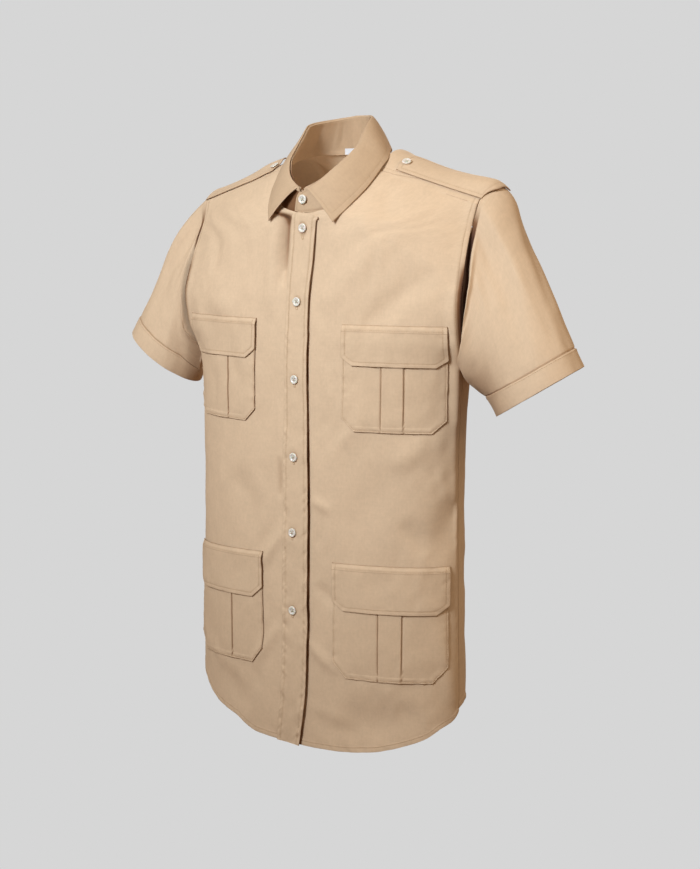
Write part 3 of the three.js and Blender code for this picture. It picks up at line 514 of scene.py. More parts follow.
def armhole(side):
    """Points round an armhole from the underarm up the front, the way out of the body, and the share."""
    n = 160
    mirror = np.array([side, 1, 1])
    places = [(front, np.linspace(UNDERARM, -0.01, n)), (yoke, np.linspace(0, 1, n)[1:-1]),
              (back, np.linspace(BACK_YOKE, UNDERARM, n)[:-1])]
    points, ways = [], []
    for surface, v in places:
        p = surface(side, v) * mirror
        points.append(p)
        ways.append(unit(p - surface(side * NEAR_EDGE, v) * mirror))
    p = np.concatenate(points + [points[0][:1]])
    way = np.concatenate(ways + [ways[0][:1]])
    run = np.linalg.norm(np.diff(p, axis=0), axis=1).cumsum()
    return p, way, np.concatenate([[0], run / run[-1]])


ARMHOLES = {side: armhole(side) for side in (1, -1)}


def armhole_at(side, share):
    p, way, run = ARMHOLES[side]
    s = share % 1
    at = [np.interp(s, run, p[:, k]) for k in range(3)]
    out = [np.interp(s, run, way[:, k]) for k in range(3)]
    return vec(*at), unit(vec(*out))


def sleeve_plain(hem, share, t):
    share, t = floats(share, t)
    start, out = armhole_at(hem["side"], share)
    a = 2 * np.pi * share
    fall = math.radians(hem["fall"])
    down = unit(np.array([math.cos(fall), -SLEEVE_FORWARD, -math.sin(fall)]))
    turned = down * hem["tilt"] * np.sin(a)[..., None]
    below = hem["wide"] * (np.cos(a) - hem["low"] * np.clip(np.cos(a), 0, 1))
    h = turned + vec(hem["x"] - math.sin(fall) * below, hem["y"] - hem["deep"] * np.sin(a),
                     hem["z"] - math.cos(fall) * below)
    begin = start + out * SLEEVE_START
    reach = np.linalg.norm(h - begin, axis=-1, keepdims=True)
    leave = unit(out * hem["along"] + down * (1 - hem["along"])) * reach * hem["leave"]
    arrive = down * reach * hem["arrive"]
    t = t[..., None]
    return (
        begin * (2 * t**3 - 3 * t**2 + 1)
        + leave * (t**3 - 2 * t**2 + t)
        + h * (3 * t**2 - 2 * t**3)
        + arrive * (t**3 - t**2)
    )


def sleeve_point(hem, share, t, lift=0.0):
    share, t, lift = floats(share, t, lift)
    n = -normals_of(lambda a, b: sleeve_plain(hem, a, b), share, np.clip(t, 0.05, 0.99), 0.01, 0.01)
    rise = lift
    for a0, s0, a1, s1, half, high in SLEEVE_FOLDS + SLEEVE_CREASES:
        s = np.clip((t - s0) / (s1 - s0), 0, 1)
        around = (share * 360 - a0 - (a1 - a0) * s + 540) % 360 - 180
        away = np.radians(around) * hem["wide"] / half
        ends = smooth(t / 0.25) * np.sin(np.pi * np.clip(s * 0.8 + 0.1, 0, 1))
        rise = rise + high * bell(away, 1) * ends
    p = sleeve_plain(hem, share, t) + n * rise[..., None]
    p[..., 0] *= hem["side"]
    return p


# Collar
STAND = dict(end=13.5, under=2.6, over=2.4, round=9, thick=1.8, low=0.045, tall=0.9, under_from=-70,
             over_from=-290, lap_run=50, end_height=0.3, radius=70)
STAND_TURN = 360 + 2 * STAND["end"]
OVER_END = 0.986
NECK_MIDDLE = 4
FALL = dict(first=3.5, lift=2.2, roll=5, forward=1.6, belly_at=0.45, inside=0.4, tuck=0.06)
fall_x, fall_y, fall_z = curves(FALL_EDGE)


def away_from_neck(p):
    return unit(vec(p[..., 0], p[..., 1] + NECK_MIDDLE, 0))


def neck_point(turn, share, right=None):
    share = np.asarray(share)[..., None]
    return neck_ring(turn) * (1 - share) + fold_ring(turn, right) * share


def stand_point(u, v):
    u, v = floats(u, v)
    along = STAND["end"] - u * STAND_TURN
    turn = np.where(along < -180, along + 360, along)
    from_end = np.minimum(u, OVER_END - u) * np.radians(STAND_TURN) * STAND["radius"]
    r = np.clip(from_end / STAND["round"], 0, 1)
    tall = STAND["end_height"] + (1 - STAND["end_height"]) * np.sqrt(np.clip(1 - (1 - r) ** 2, 0, 1))
    middle = smooth(from_end / 40)
    foot = STAND["low"] - 0.12 * middle * (1 - v) ** 2
    p = neck_point(turn, foot + (STAND["tall"] + 0.1 * middle) * tall * v)
    p = p - away_from_neck(p) * (1.2 * middle * smooth(1 - v * 6))[..., None]
    under = STAND["under"] * smooth((along - STAND["under_from"]) / STAND["lap_run"])
    over = STAND["over"] * smooth((STAND["over_from"] - along) / STAND["lap_run"])
    return p + away_from_neck(p) * (over - under)[..., None]


def fall_point(u, v):
    """The fall from the seam inside the neck (v below 0), over the fold to its free edge (v is 1)."""
    u, v = floats(u, v)
    turn = FALL["first"] + (360 - 2 * FALL["first"]) * u
    s = np.minimum(turn, 360 - turn)
    right = turn > 180
    closer = smooth((s - 10) / 60) * smooth((170 - s) / 50) * right
    neater = 3.5 * bell(s - 105, 28) * ~right
    fold = fold_ring(s, right)
    e = vec(fall_x(s) - 5 * closer - neater, fall_y(s), fall_z(s))
    start = fold + np.array([0, 0, FALL["lift"]])
    out = unit(vec(fall_x(s) - fold[..., 0], fall_y(s) - fold[..., 1], 0))
    a = np.radians(s)
    out = unit(out + vec(np.sin(a), -np.cos(a), 0) * FALL["forward"])
    belly = (6 - 3.5 * closer - neater)[..., None]
    up = np.array([0, 0, 1.0])
    b = start + up * FALL["roll"] + out
    c = start + (e - start) * FALL["belly_at"] + out * belly + up * belly
    p = bezier(start, b, c, e, np.clip(v, 0, 1))
    inside = neck_point(s, 0 * s + 0.9, right)
    inside = inside - away_from_neck(inside) * FALL["inside"]
    p = p + (inside - start) * np.clip(-v / FALL["tuck"], 0, 1)[..., None]
    p[..., 0] *= np.where(right, -1, 1)
    return p


# Meshes
def grid_normals(p, loop):
    if loop:
        across = np.roll(p, -1, axis=1) - np.roll(p, 1, axis=1)
    else:
        across = np.gradient(p, axis=1)
    return unit(np.cross(across, np.gradient(p, axis=0)))


def tube_faces(rings, count, first=0):
    """Faces between rings of points, each ring closed."""
    faces = []
    for start in range(first, first + (rings - 1) * count, count):
        for k in range(count):
            a, b = start + k, start + (k + 1) % count
            faces.append((a, b, b + count, a + count))
    return faces


def make_object(name, points, faces, material, place=None, sharp=40):
    mesh = bpy.data.meshes.new(name)
    mesh.from_pydata((np.asarray(points) * MM).tolist(), [], faces)
    if place is not None:
        held = mesh.attributes.new("cloth_place_and_painted_shade", "FLOAT_VECTOR", "POINT")
        held.data.foreach_set("vector", (np.asarray(place) * MM).astype(np.float32).ravel())
    mesh.validate()
    mesh.shade_smooth()
    mesh.set_sharp_from_angle(angle=math.radians(sharp))
    made = bpy.data.objects.new(name, mesh)
    bpy.context.scene.collection.objects.link(made)
    made.data.materials.append(material)
    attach(made, "root")
    return made


def shell(name, face, thick, outward, place, material, loop):
    """A closed thin shell under a grid of points, with its rim."""
    rows, columns = face.shape[:2]
    inner = face - grid_normals(face, loop) * outward * thick
    points = np.concatenate([face.reshape(-1, 3), inner.reshape(-1, 3)])
    ids = np.arange(rows * columns).reshape(rows, columns)
    if loop:
        ids = np.concatenate([ids, ids[:, :1]], axis=1)
    a, b, c, d = ids[:-1, :-1], ids[:-1, 1:], ids[1:, 1:], ids[1:, :-1]
    quads = np.stack([a, b, c, d], axis=-1).reshape(-1, 4)
    under = rows * columns
    faces = [quads, quads[:, ::-1] + under]
    rims = [(ids[0], 1), (ids[-1], -1)]
    if not loop:
        rims += [(ids[:, -1], 1), (ids[:, 0], -1)]
    for edge, way in rims:
        p, q = edge[:-1], edge[1:]
        rim = np.stack([q, p, p + under, q + under], axis=-1)
        faces.append(rim if way > 0 else rim[:, ::-1])
    faces = np.concatenate(faces)
    if outward < 0:
        faces = faces[:, ::-1]
    return make_object(name, points, faces.tolist(), material, np.concatenate([place.reshape(-1, 3)] * 2))


def spread_with(a, b, n, near_a=(), near_b=()):
    """Even steps from a to b, with more lines close to the ends, given as distances from them."""
    lines = [np.linspace(a, b, n + 1), a + np.array(near_a, float), b - np.array(near_b, float)]
    return np.unique(np.concatenate(lines).round(4))


def spread_both(a, b, n, near):
    return spread_with(a, b, n, near, near)


# Distances from an edge at which a piece's grid has extra lines
EDGE_LINES = np.array([0.25, 0.6, 1.1, 1.7, 2.4, 3.2])
ROLL = 0.7


def rolled(e, drop=0.6):
    """How far a folded edge sinks at a distance from it."""
    r = np.clip(1 - e / ROLL, 0, 1)
    return -drop * (1 - np.sqrt(np.clip(1 - r * r, 0, 1)))


def stitched(x, y, lines, seed, depth, pucker, width=5.0, pitch=6.5):
    """The groove that a stitched line pulls into the cloth, with uneven puckers across it."""
    rise = np.zeros(np.broadcast(x, y).shape)
    for k, line in enumerate(lines):
        a, b = np.array(line, float)
        run = np.linalg.norm(b - a)
        way = (b - a) / run
        s = (x - a[0]) * way[0] + (y - a[1]) * way[1]
        c = np.clip(s, 0, run)
        side = (x - a[0]) * -way[1] + (y - a[1]) * way[0]
        away = np.hypot(x - a[0] - way[0] * c, y - a[1] - way[1] * c)
        wave = wander((s + side * 0.5) / pitch, seed + k * 7.3)
        wave = wave + 0.5 * wander((s - side * 0.4) / (pitch * 0.47), seed + 3 + k)
        puckers = pucker * wave * bell(away, width) * (1 - bell(away, 0.8) * 0.5)
        rise = rise - depth * bell(away, 1.0) + puckers
    return rise


# Finishes
def linear(*rgb):
    """Colours of 0 to 255 on a screen as linear light."""
    def one(c):
        c /= 255
        return c / 12.92 if c <= 0.04045 else ((c + 0.055) / 1.055) ** 2.4

    return (*[one(c) for c in rgb], 1.0)


def socket(tree, name, kind, way, value=None):
    made = tree.interface.new_socket(name=name, in_out=way, socket_type=kind)
    if value is not None:
        made.default_value = value
    return made


class Tree:
    """A short way to add and join shader nodes."""

    def __init__(self, tree):
        self.tree = tree

    def node(self, kind, inputs=(), **settings):
        made = self.tree.nodes.new(kind if kind.startswith("NodeGroup") else "ShaderNode" + kind)
        for name, value in settings.items():
            setattr(made, name, value)
        return self.fill(made, inputs)

    def fill(self, made, inputs):
        for name, value in dict(inputs).items():
            self.join(value, made.inputs[name])
        return made

    def mix(self, factor, a, b, **settings):
        made = self.node("Mix", {}, data_type="RGBA", **settings)
        return self.fill(made, {"Factor": factor, "A": a, "B": b}).outputs["Result"]

    def join(self, value, target):
        if isinstance(value, bpy.types.NodeSocket):
            self.tree.links.new(value, target)
        else:
            target.default_value = value

    def math(self, operation, a, b=0.0):
        made = self.tree.nodes.new("ShaderNodeMath")
        made.operation = operation
        for value, target in zip((a, b), made.inputs):
            self.join(value, target)
        return made.outputs[0]

    def noise(self, vector, scale, detail=2.0, roughness=0.5):
        inputs = {"Vector": vector, "Scale": scale, "Detail": detail, "Roughness": roughness}
        return self.node("TexNoise", inputs).outputs["Fac"]

    def scaled(self, vector, by):
        made = self.node("VectorMath", operation="MULTIPLY")
        self.join(vector, made.inputs[0])
        made.inputs[1].default_value = by
        return made.outputs[0]


def twill_group():
    """Diagonal ridges of a cotton twill, with uneven yarns along and across and a soft nap."""
    tree = bpy.data.node_groups.new("twill_weave", "ShaderNodeTree")
    socket(tree, "Place", "NodeSocketVector", "INPUT")
    socket(tree, "Ridge Pitch", "NodeSocketFloat", "INPUT", 0.0009)
    socket(tree, "Yarn Change", "NodeSocketFloat", "INPUT", 1.0)
    socket(tree, "Height", "NodeSocketFloat", "OUTPUT")
    socket(tree, "Shade", "NodeSocketFloat", "OUTPUT")
    t = Tree(tree)
    given = t.node("NodeGroupInput").outputs
    split = t.node("SeparateXYZ", {"Vector": given["Place"]}).outputs
    diagonal = t.math("ADD", t.math("MULTIPLY", split["X"], 0.83), t.math("MULTIPLY", split["Y"], 0.56))
    turns = t.math("DIVIDE", diagonal, given["Ridge Pitch"])
    ridge = t.math("SINE", t.math("MULTIPLY", turns, 2 * math.pi))
    cross = t.math("DIVIDE", split["Y"], given["Ridge Pitch"])
    yarn = t.math("SINE", t.math("MULTIPLY", cross, 2 * math.pi * 1.3))
    woven = t.math("ADD", t.math("MULTIPLY", ridge, 0.5), t.math("MULTIPLY", yarn, 0.18))
    warp = t.noise(t.scaled(given["Place"], (900.0, 26.0, 1.0)), 1.0, 3.0, 0.6)
    weft = t.noise(t.scaled(given["Place"], (30.0, 760.0, 1.0)), 1.0, 3.0, 0.6)
    nap = t.noise(t.scaled(given["Place"], (60.0, 60.0, 60.0)), 1.0, 4.0, 0.65)
    cloudy = t.noise(t.scaled(given["Place"], (14.0, 10.0, 12.0)), 1.0, 2.0, 0.5)
    uneven = t.math("ADD", t.math("SUBTRACT", warp, 0.5), t.math("SUBTRACT", weft, 0.5))
    uneven = t.math("MULTIPLY", uneven, given["Yarn Change"])
    out = t.node("NodeGroupOutput").inputs
    t.join(t.math("ADD", woven, t.math("MULTIPLY", uneven, 1.2)), out["Height"])
    flecks = t.noise(t.scaled(given["Place"], (260.0, 190.0, 200.0)), 1.0, 3.0, 0.6)
    patchy = t.math("ADD", t.math("MULTIPLY", t.math("SUBTRACT", nap, 0.5), 0.16),
                    t.math("MULTIPLY", t.math("SUBTRACT", cloudy, 0.5), 0.09))
    patchy = t.math("ADD", patchy, t.math("MULTIPLY", t.math("SUBTRACT", flecks, 0.5), 0.17))
    shade = t.math("ADD", t.math("MULTIPLY", uneven, 0.09), t.math("MULTIPLY", woven, 0.03))
    t.join(t.math("ADD", 1.0, t.math("ADD", shade, patchy)), out["Shade"])
    return tree


TWILL = twill_group()


def new_material(name):
    made = bpy.data.materials.new(name)
    made.use_nodes = True
    return made, Tree(made.node_tree), made.node_tree.nodes["Principled BSDF"]


TWILL_PITCH = 0.0009
TAPE_PITCH = 0.0005
CLOTH_COLOUR = linear(211, 181, 149)
PRESSED_COLOUR = linear(209, 179, 147)
# The collar's twill is the same cloth, painted darker as shade
COLLAR_SHADED_COLOUR = linear(191, 160, 128)
# Painted shade: creases darken the cloth towards the first colour, gaps towards the second
CREASE_SHADE_COLOUR = linear(126, 86, 55)
GAP_SHADE_COLOUR = linear(60, 30, 17)


def twill_material(name, colour, change=1.0):
    """Cotton twill with painted shade: darker by the third part of its cloth place attribute, up to 1 in a
    crease, from 1 to 2 in a gap.
    """
    made, t, principled = new_material(name)
    place = t.node("Attribute", attribute_name="cloth_place_and_painted_shade").outputs["Vector"]
    depth = t.math("MULTIPLY", t.node("SeparateXYZ", {"Vector": place}).outputs["Z"], 1 / MM)
    weave = t.node("Group", node_tree=TWILL)
    t.fill(weave, {"Place": place, "Ridge Pitch": TWILL_PITCH, "Yarn Change": change})
    crease_shaded = t.mix(t.math("MINIMUM", depth, 1.0), colour, CREASE_SHADE_COLOUR)
    in_gap = t.math("MINIMUM", t.math("MAXIMUM", t.math("SUBTRACT", depth, 1.0), 0.0), 1.0)
    shaded = t.mix(in_gap, crease_shaded, GAP_SHADE_COLOUR)
    shade = weave.outputs["Shade"]
    grey = t.node("CombineColor", {"Red": shade, "Green": shade, "Blue": shade})
    bump = t.node("Bump", {"Strength": 0.35, "Distance": 0.00012, "Height": weave.outputs["Height"]})
    t.fill(principled, {
        "Base Color": t.mix(1.0, shaded, grey.outputs["Color"], blend_type="MULTIPLY"),
        "Roughness": t.math("ADD", 0.78, t.math("MULTIPLY", weave.outputs["Height"], 0.05)),
        "Normal": bump.outputs["Normal"],
        "Sheen Weight": 0.16,
        "Sheen Roughness": 0.45,
        "Sheen Tint": linear(250, 232, 205),
        "Specular IOR Level": 0.3,
    })
    return made


def thread_material(name, dark, pale):
    made, t, principled = new_material(name)
    place = t.node("TexCoord").outputs["Object"]
    bump = t.node("Bump", {"Strength": 0.4, "Distance": 0.0001, "Height": t.noise(place, 3000.0, 1.0)})
    t.fill(principled, {
        "Base Color": t.mix(t.noise(place, 900.0), dark, pale),
        "Normal": bump.outputs["Normal"],
        "Roughness": 0.6,
        "Sheen Weight": 0.2,
    })
    return made


def button_material():
    """Clouded resin with faint streaks, polished."""
    made, t, principled = new_material("button_resin")
    place = t.node("TexCoord").outputs["Object"]
    cloud = t.noise(t.scaled(place, (1.0, 1.0, 2.2)), 190.0, 3.0, 0.55)
    streak = t.node("TexWave", {"Vector": place, "Scale": 95.0, "Distortion": 7.0, "Detail": 2.0})
    change = t.math("ADD", t.math("MULTIPLY", cloud, 0.7), t.math("MULTIPLY", streak.outputs["Fac"], 0.3))
    t.fill(principled, {
        "Base Color": t.mix(change, linear(205, 194, 178), linear(236, 229, 218)),
        "Roughness": t.math("ADD", 0.2, t.math("MULTIPLY", cloud, 0.14)),
        "Coat Weight": 0.35,
        "Coat Roughness": 0.12,
        "Subsurface Weight": 0.08,
        "Subsurface Scale": 0.002,
    })
    return made


def label_material():
    made, t, principled = new_material("label_tape")
    weave = t.node("Group", node_tree=TWILL)
    place = t.node("Attribute", attribute_name="cloth_place_and_painted_shade").outputs["Vector"]
    t.fill(weave, {"Place": place, "Ridge Pitch": TAPE_PITCH})
    change = t.math("MULTIPLY", weave.outputs["Shade"], 0.5)
    bump = t.node("Bump", {"Strength": 0.3, "Distance": 0.0001, "Height": weave.outputs["Height"]})
    t.fill(principled, {
        "Base Color": t.mix(change, linear(206, 206, 210), linear(246, 246, 248)),
        "Normal": bump.outputs["Normal"],
        "Roughness": 0.62,
    })
    return made


cloth_finish = twill_material("sand_twill", CLOTH_COLOUR)
edge_finish = twill_material("sand_twill_pressed", PRESSED_COLOUR, 0.8)
# The collar's copy of the twill, painted darker as shade
collar_shaded_finish = twill_material("sand_twill_collar_shaded", COLLAR_SHADED_COLOUR, 0.8)
thread_finish = thread_material("sewing_thread", linear(166, 131, 95), linear(200, 168, 130))
button_thread = thread_material("button_thread", linear(176, 158, 134), linear(214, 198, 176))
button_finish = button_material()
label_finish = label_material()

# Stitches
STITCH = dict(long=2.5, gap=0.6, half=0.24, proud=0.12)
LINE_STEP = 0.6
stitch_store = {}


def sew(group, surface, line, outward, du, dv):
    """A row of stitches along a line of places (u, v) on a surface, kept until its group is made."""
    places = np.array(line, float)
    rough = surface(places[:, 0], places[:, 1])
    count = np.maximum(np.linalg.norm(np.diff(rough, axis=0), axis=1) / LINE_STEP, 2).astype(int)
    parts = [np.linspace(places[i], places[i + 1], n, endpoint=False) for i, n in enumerate(count)]
    u, v = np.concatenate(parts + [places[-1:]]).T
    p = surface(u, v)
    n = normals_of(surface, u, v, du, dv) * outward
    run = np.concatenate([[0], np.linalg.norm(np.diff(p, axis=0), axis=1).cumsum()])
    count = max(int(run[-1] / (STITCH["long"] + STITCH["gap"])), 1)
    first = (np.arange(count) + 0.12) * run[-1] / count
    last = first + (run[-1] / count) - STITCH["gap"]

    def at(s, table):
        return np.stack([np.interp(s, run, table[:, k]) for k in range(3)], axis=-1)

    stitch_store.setdefault(group, []).append((at(first, p), at(last, p), unit(at((first + last) / 2, n))))


# Rings of a stitch: share of its length, width and height
RINGS = [(0.0, 0.35, -0.5), (0.25, 0.95, 0.55), (0.5, 1.0, 0.8), (0.75, 0.95, 0.55), (1.0, 0.35, -0.5)]
ROUND = 5


def make_stitches(group):
    """One object with all the stitches of a group, each a small rounded bar that dips in at its ends."""
    starts, ends, outs = (np.concatenate(part) for part in zip(*stitch_store[group]))
    way = unit(ends - starts)
    across = unit(np.cross(way, outs))
    points = []
    for share, wide, high in RINGS:
        middle = starts + (ends - starts) * share + outs * (STITCH["proud"] * high)
        for k in range(ROUND):
            a = 2 * math.pi * k / ROUND
            points.append(middle + (across * math.cos(a) * 1.15 + outs * math.sin(a)) * STITCH["half"] * wide)
    count, size = len(starts), len(points)
    points = np.stack(points, axis=1).reshape(-1, 3)
    firsts = (np.arange(count) * size)[:, None, None]
    quads = np.array(tube_faces(len(RINGS), ROUND)) + firsts
    caps = np.array([range(ROUND)[::-1], range(size - ROUND, size)]) + firsts
    faces = quads.reshape(-1, 4).tolist() + caps.reshape(-1, ROUND).tolist()
    make_object(group, points, faces, thread_finish, sharp=60)


def cloth(node, surface, us, vs, thick, outward, place, loop=False, painted_shade=None, material=None,
          ending="_cloth"):
    """A piece of cloth in the place of its solid, on a grid of a surface, with its place on the flat cut and,
    as the third part of that place, its painted shade.
    """
    u, v = np.meshgrid(us[:-1] if loop else us, vs)
    x, y = place(u, v)
    flat = vec(x, y, painted_shade(u, v) if painted_shade else 0 * u)
    made = shell(node + ending, surface(u, v), thick, outward, flat, material or cloth_finish, loop)
    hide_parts(node)


# Fronts
SHELL = 0.9
HEM_TURN = 7.0
HEM_STITCH = HEM_TURN - 0.8
HEM_LINES = np.array([0.3, 0.8, 1.6, 2.6, 4, 5.2, 6, 6.6, 7.2, 8, 9.5])
FRONT_SPLIT = 15 / 27
SIDE_INSET = 0.0016
ARM_STITCH = 6.5
FAR = 99
OVER_SHOULDER = 0.06
OVER_LONG = 200
PLACKET_END = -96


def front_height(f, v):
    low = front_hem(f)
    lower = low + (UNDERARM - low) * v / FRONT_SPLIT
    upper = UNDERARM + (-SEAM_GAP * 2 - UNDERARM) * (v - FRONT_SPLIT) / (1 - FRONT_SPLIT)
    return np.where(v <= FRONT_SPLIT, lower, upper)


def hem_rise(over, s, seed):
    """A narrow turned hem: a little thicker, with a stitched line over it and a roped edge."""
    band = 0.45 * smooth((HEM_TURN + 0.6 - over) / 0.8)
    rope = 0.45 * wander((s + over * 0.8) / 7.5, seed) + 0.2 * wander((s + over * 0.8) / 3.1, seed + 2)
    near = bell(over - HEM_TURN * 0.5, 6.0)
    return band + rope * near - 0.25 * bell(over - HEM_TURN + 0.8, 0.9) + rolled(over, 0.5)


def stitched_edge(e, s, seed):
    """A stitched line along an armhole, at a distance in from it, with its puckers."""
    ripple = 0.28 * wander((s + e) / 8, seed) + 0.14 * wander((s - e) / 3.7, seed + 1)
    return ripple * bell(e - ARM_STITCH / 2, ARM_STITCH) * smooth(e / 2) - 0.3 * bell(e - ARM_STITCH, 1.0)


def front_place(side, u, v):
    """Share of the row, height and length of the row at a place of a front's grid."""
    h = front_height(u if side > 0 else u - 1, np.minimum(v, 1))
    length = row_length("front", h)
    neckline = smooth((h - NECK_ROW + 5) / 10)
    edge = (OVERLAP_EDGE + placket_middle(h) + side * SEAM_GAP) / length
    inner = edge * (1 - neckline) + side * SIDE_INSET * neckline
    outer = side * (1 - SIDE_INSET)
    f = inner + (outer - inner) * u if side > 0 else outer + (inner - outer) * u
    return f, h, length


def front_surface(side):
    """A front, and above v = 1 the strip of it that runs over the shoulder seam onto the yoke."""
    def surface(u, v):
        u, v = floats(u, v)
        f, h, length = front_place(side, u, v)
        d = f * length
        rise = hem_rise(h - front_hem(f), d, 11 + side)
        if side > 0:
            beside = d - placket_left(np.minimum(h, PLACKET_END))
            rise = rise - 0.55 * bell(beside, 2.6) * smooth((-100 - h) / 40)
        to_side = (1 - np.abs(f)) * length
        rise = rise - 0.35 * bell(to_side, 1.5) * (h < UNDERARM)
        seam = 0.3 * wander((h + to_side) / 9, 5 + side) * bell(to_side, 7)
        arm = np.where(h > UNDERARM, to_side, FAR)
        arm_seam = stitched_edge(arm, h, 14 + side)
        rise = rise + seam * smooth(to_side / 2) + arm_seam
        rise = rise + (1.2 + 2.2 * smooth((-130 - h) / 60)) * bell(arm - 4, 8)
        w = np.sign(f) * (NECK_SHARE + np.abs(f) * (1 - NECK_SHARE))
        beyond = np.clip((v - 1) / OVER_SHOULDER, 0, 1)
        over = yoke(w, seam_share(w) * beyond, arm_seam)
        return np.where((v > 1)[..., None], over, front(f, h, rise))

    return surface


def add_front(name, side):
    def place(u, v):
        f, h, length = front_place(side, u, v)
        return f * length, h + OVER_LONG * np.maximum(v - 1, 0)

    # Painted shade in the cloth's colour: the dark gap at the armhole and its stitched line, the shade in the
    # shaded folds, the line at the hem's stitching and the shadow beside the placket's proud edge.
    def painted_shade(u, v):
        f, h, length = front_place(side, u, v)
        arm = np.where(h > UNDERARM, (1 - np.abs(f)) * length, FAR)
        deep = 0.45 * bell(arm, 1.2) + 0.25 * bell(arm - ARM_STITCH, 0.8)
        deep = deep + 1.6 * bell(arm, 5.2) * smooth((-105 - h) / 50)
        deep = deep + fold_rise(SHADED_FOLDS, f * length, h)
        deep = deep + 0.3 * bell(h - front_hem(f) - HEM_TURN + 0.6, 0.8)
        if side > 0:
            beside = f * length - placket_left(np.minimum(h, PLACKET_END))
            uneven = 0.75 + 0.4 * wander(h / 23, 19) + 0.2 * wander(h / 9, 20)
            dark = 0.8 * smooth((-100 - h) / 30) + 0.7 * smooth((-170 - h) / 120) * smooth((h + 760) / 140)
            deep = deep + smooth((0.8 - beside) / 0.7) * dark * uneven
        return deep

    surface = front_surface(side)
    by_arm = np.array([0.8, 1.8, 3, 4.4, 5.6, 6.5, 7.4, 8.6]) / 300
    us = spread_with(0, 1, 94, () if side > 0 else by_arm, by_arm if side > 0 else ())
    if side > 0:
        by_placket = np.arange(0.034, 0.092, 0.0031)
        us = np.unique(np.concatenate([us, by_placket]).round(4))
    vs = np.unique(np.concatenate([
        np.linspace(0, FRONT_SPLIT, 150), np.linspace(FRONT_SPLIT, 1, 84), HEM_LINES / 500 * FRONT_SPLIT,
        1 + OVER_SHOULDER * np.linspace(0.02, 1, 6)]))
    cloth(name, surface, us, vs, SHELL, 1, place, painted_shade=painted_shade)
    hem = [(u, FRONT_SPLIT * HEM_STITCH / 480) for u in np.linspace(0.004, 0.996, 60)]
    sew("stitching_hem", surface, hem, 1, 0.002, 0.002)
    arm_line = []
    for v in np.linspace(FRONT_SPLIT + 0.01, 0.995, 50):
        length = front_place(side, np.array(1.0 if side > 0 else 0.0), np.array(v))[2]
        arm_line.append((1 - ARM_STITCH / length if side > 0 else ARM_STITCH / length, v))
    sew("stitching_armholes", surface, arm_line, 1, 0.002, 0.002)


add_front("front_left", 1)
add_front("front_right", -1)

# Back
BACK_TOP = BACK_YOKE - SEAM_GAP
BACK_LONG = 670


def back_place(u, v):
    f = (1 - 2 * u) * (1 - SIDE_INSET)
    low = back_hem(np.abs(f))
    return f, low + (BACK_TOP - low) * v


def back_surface(u, v):
    u, v = floats(u, v)
    f, h = back_place(u, v)
    length = row_length("back", h)
    d = f * length
    rise = hem_rise(h - back_hem(np.abs(f)), d, 21)
    to_side = (1 - np.abs(f)) * length
    rise = rise - 0.35 * bell(to_side, 1.5) * (h < UNDERARM)
    below = BACK_YOKE - h
    rise = rise + 0.35 * wander(d / 8.5, 31) * bell(below, 7) * smooth(below / 2)
    return back(f, h, rise)


def back_flat(u, v):
    f, h = back_place(u, v)
    return f * row_length("back", h) + 700, h


back_v = np.unique(np.concatenate([np.linspace(0, 1, 170), HEM_LINES / BACK_LONG]))
cloth("back", back_surface, spread_with(0, 1, 130), back_v, SHELL, 1, back_flat)
back_hem_line = [(u, HEM_STITCH / BACK_LONG) for u in np.linspace(0.003, 0.997, 120)]
sew("stitching_hem", back_surface, back_hem_line, 1, 0.002, 0.002)

# Yoke
YOKE_HALF = 230
YOKE_STITCH = 5
YOKE_LINES = [((-260, YOKE_STITCH), (260, YOKE_STITCH))]


def yoke_surface(w, share):
    w, share = floats(w, share)
    first = np.where(np.abs(w) > NECK_SHARE, seam_share(w) + 0.003, 0.006)
    t = first + (0.994 - first) * share
    from_front, from_back = (t - first) * YOKE_LONG, (1 - t) * YOKE_LONG
    x = w * YOKE_HALF
    on_front = np.abs(w) > NECK_SHARE + 0.01
    lift = stitched(x, from_back, YOKE_LINES, 41, 0.25, 0.22)
    lift = lift + stitched(x, from_front, YOKE_LINES, 47, 0.25, 0.22) * on_front
    lift = lift + 0.25 * smooth((7 - from_back) / 1.2)
    crumple = 0.8 * bell(from_front - 60, 30) * wander(x / 26 + from_front / 90, 44)
    return yoke(w, t, lift + crumple * smooth((1 - np.abs(w)) / 0.1))


yoke_across = spread_with(-0.998, 0.998, 170)
yoke_over = spread_both(0, 1, 60, (0.004, 0.012, 0.02, 0.027, 0.034))
cloth("yoke", yoke_surface, yoke_across, yoke_over, SHELL, 1,
      lambda w, t: (w * YOKE_HALF + 1500, t * YOKE_LONG))
yoke_seams = [[(w, 1 - YOKE_STITCH / YOKE_LONG) for w in np.linspace(-0.99, 0.99, 90)]]
yoke_seams += [[(side * w, YOKE_STITCH / YOKE_LONG) for w in np.linspace(0.39, 0.99, 40)] for side in (-1, 1)]
for yoke_seam in yoke_seams:
    sew("stitching_yoke", yoke_surface, yoke_seam, 1, 0.002, 0.004)

# Sleeves
SLEEVE_LONG = 205.0
SLEEVE_ROUND = 370
TRENCH = 14.0
HEM_BAND = 28.0
# Extra grid lines: distances from the armhole, and shares of the length beside the start of the band
HEAD_LINES = np.array([0.5, 1, 1.6, 2.3, 3.1, 4, 5, 6, 6.8, 7.6, 8.4, 9.4, 10.6, 12, 14, 16, 19, 22])
BAND_LINES = [0.85, 0.854, 0.857, 0.859, 0.861, 0.8625, 0.864, 0.866, 0.868, 0.872, 0.99, 0.995, 0.998]


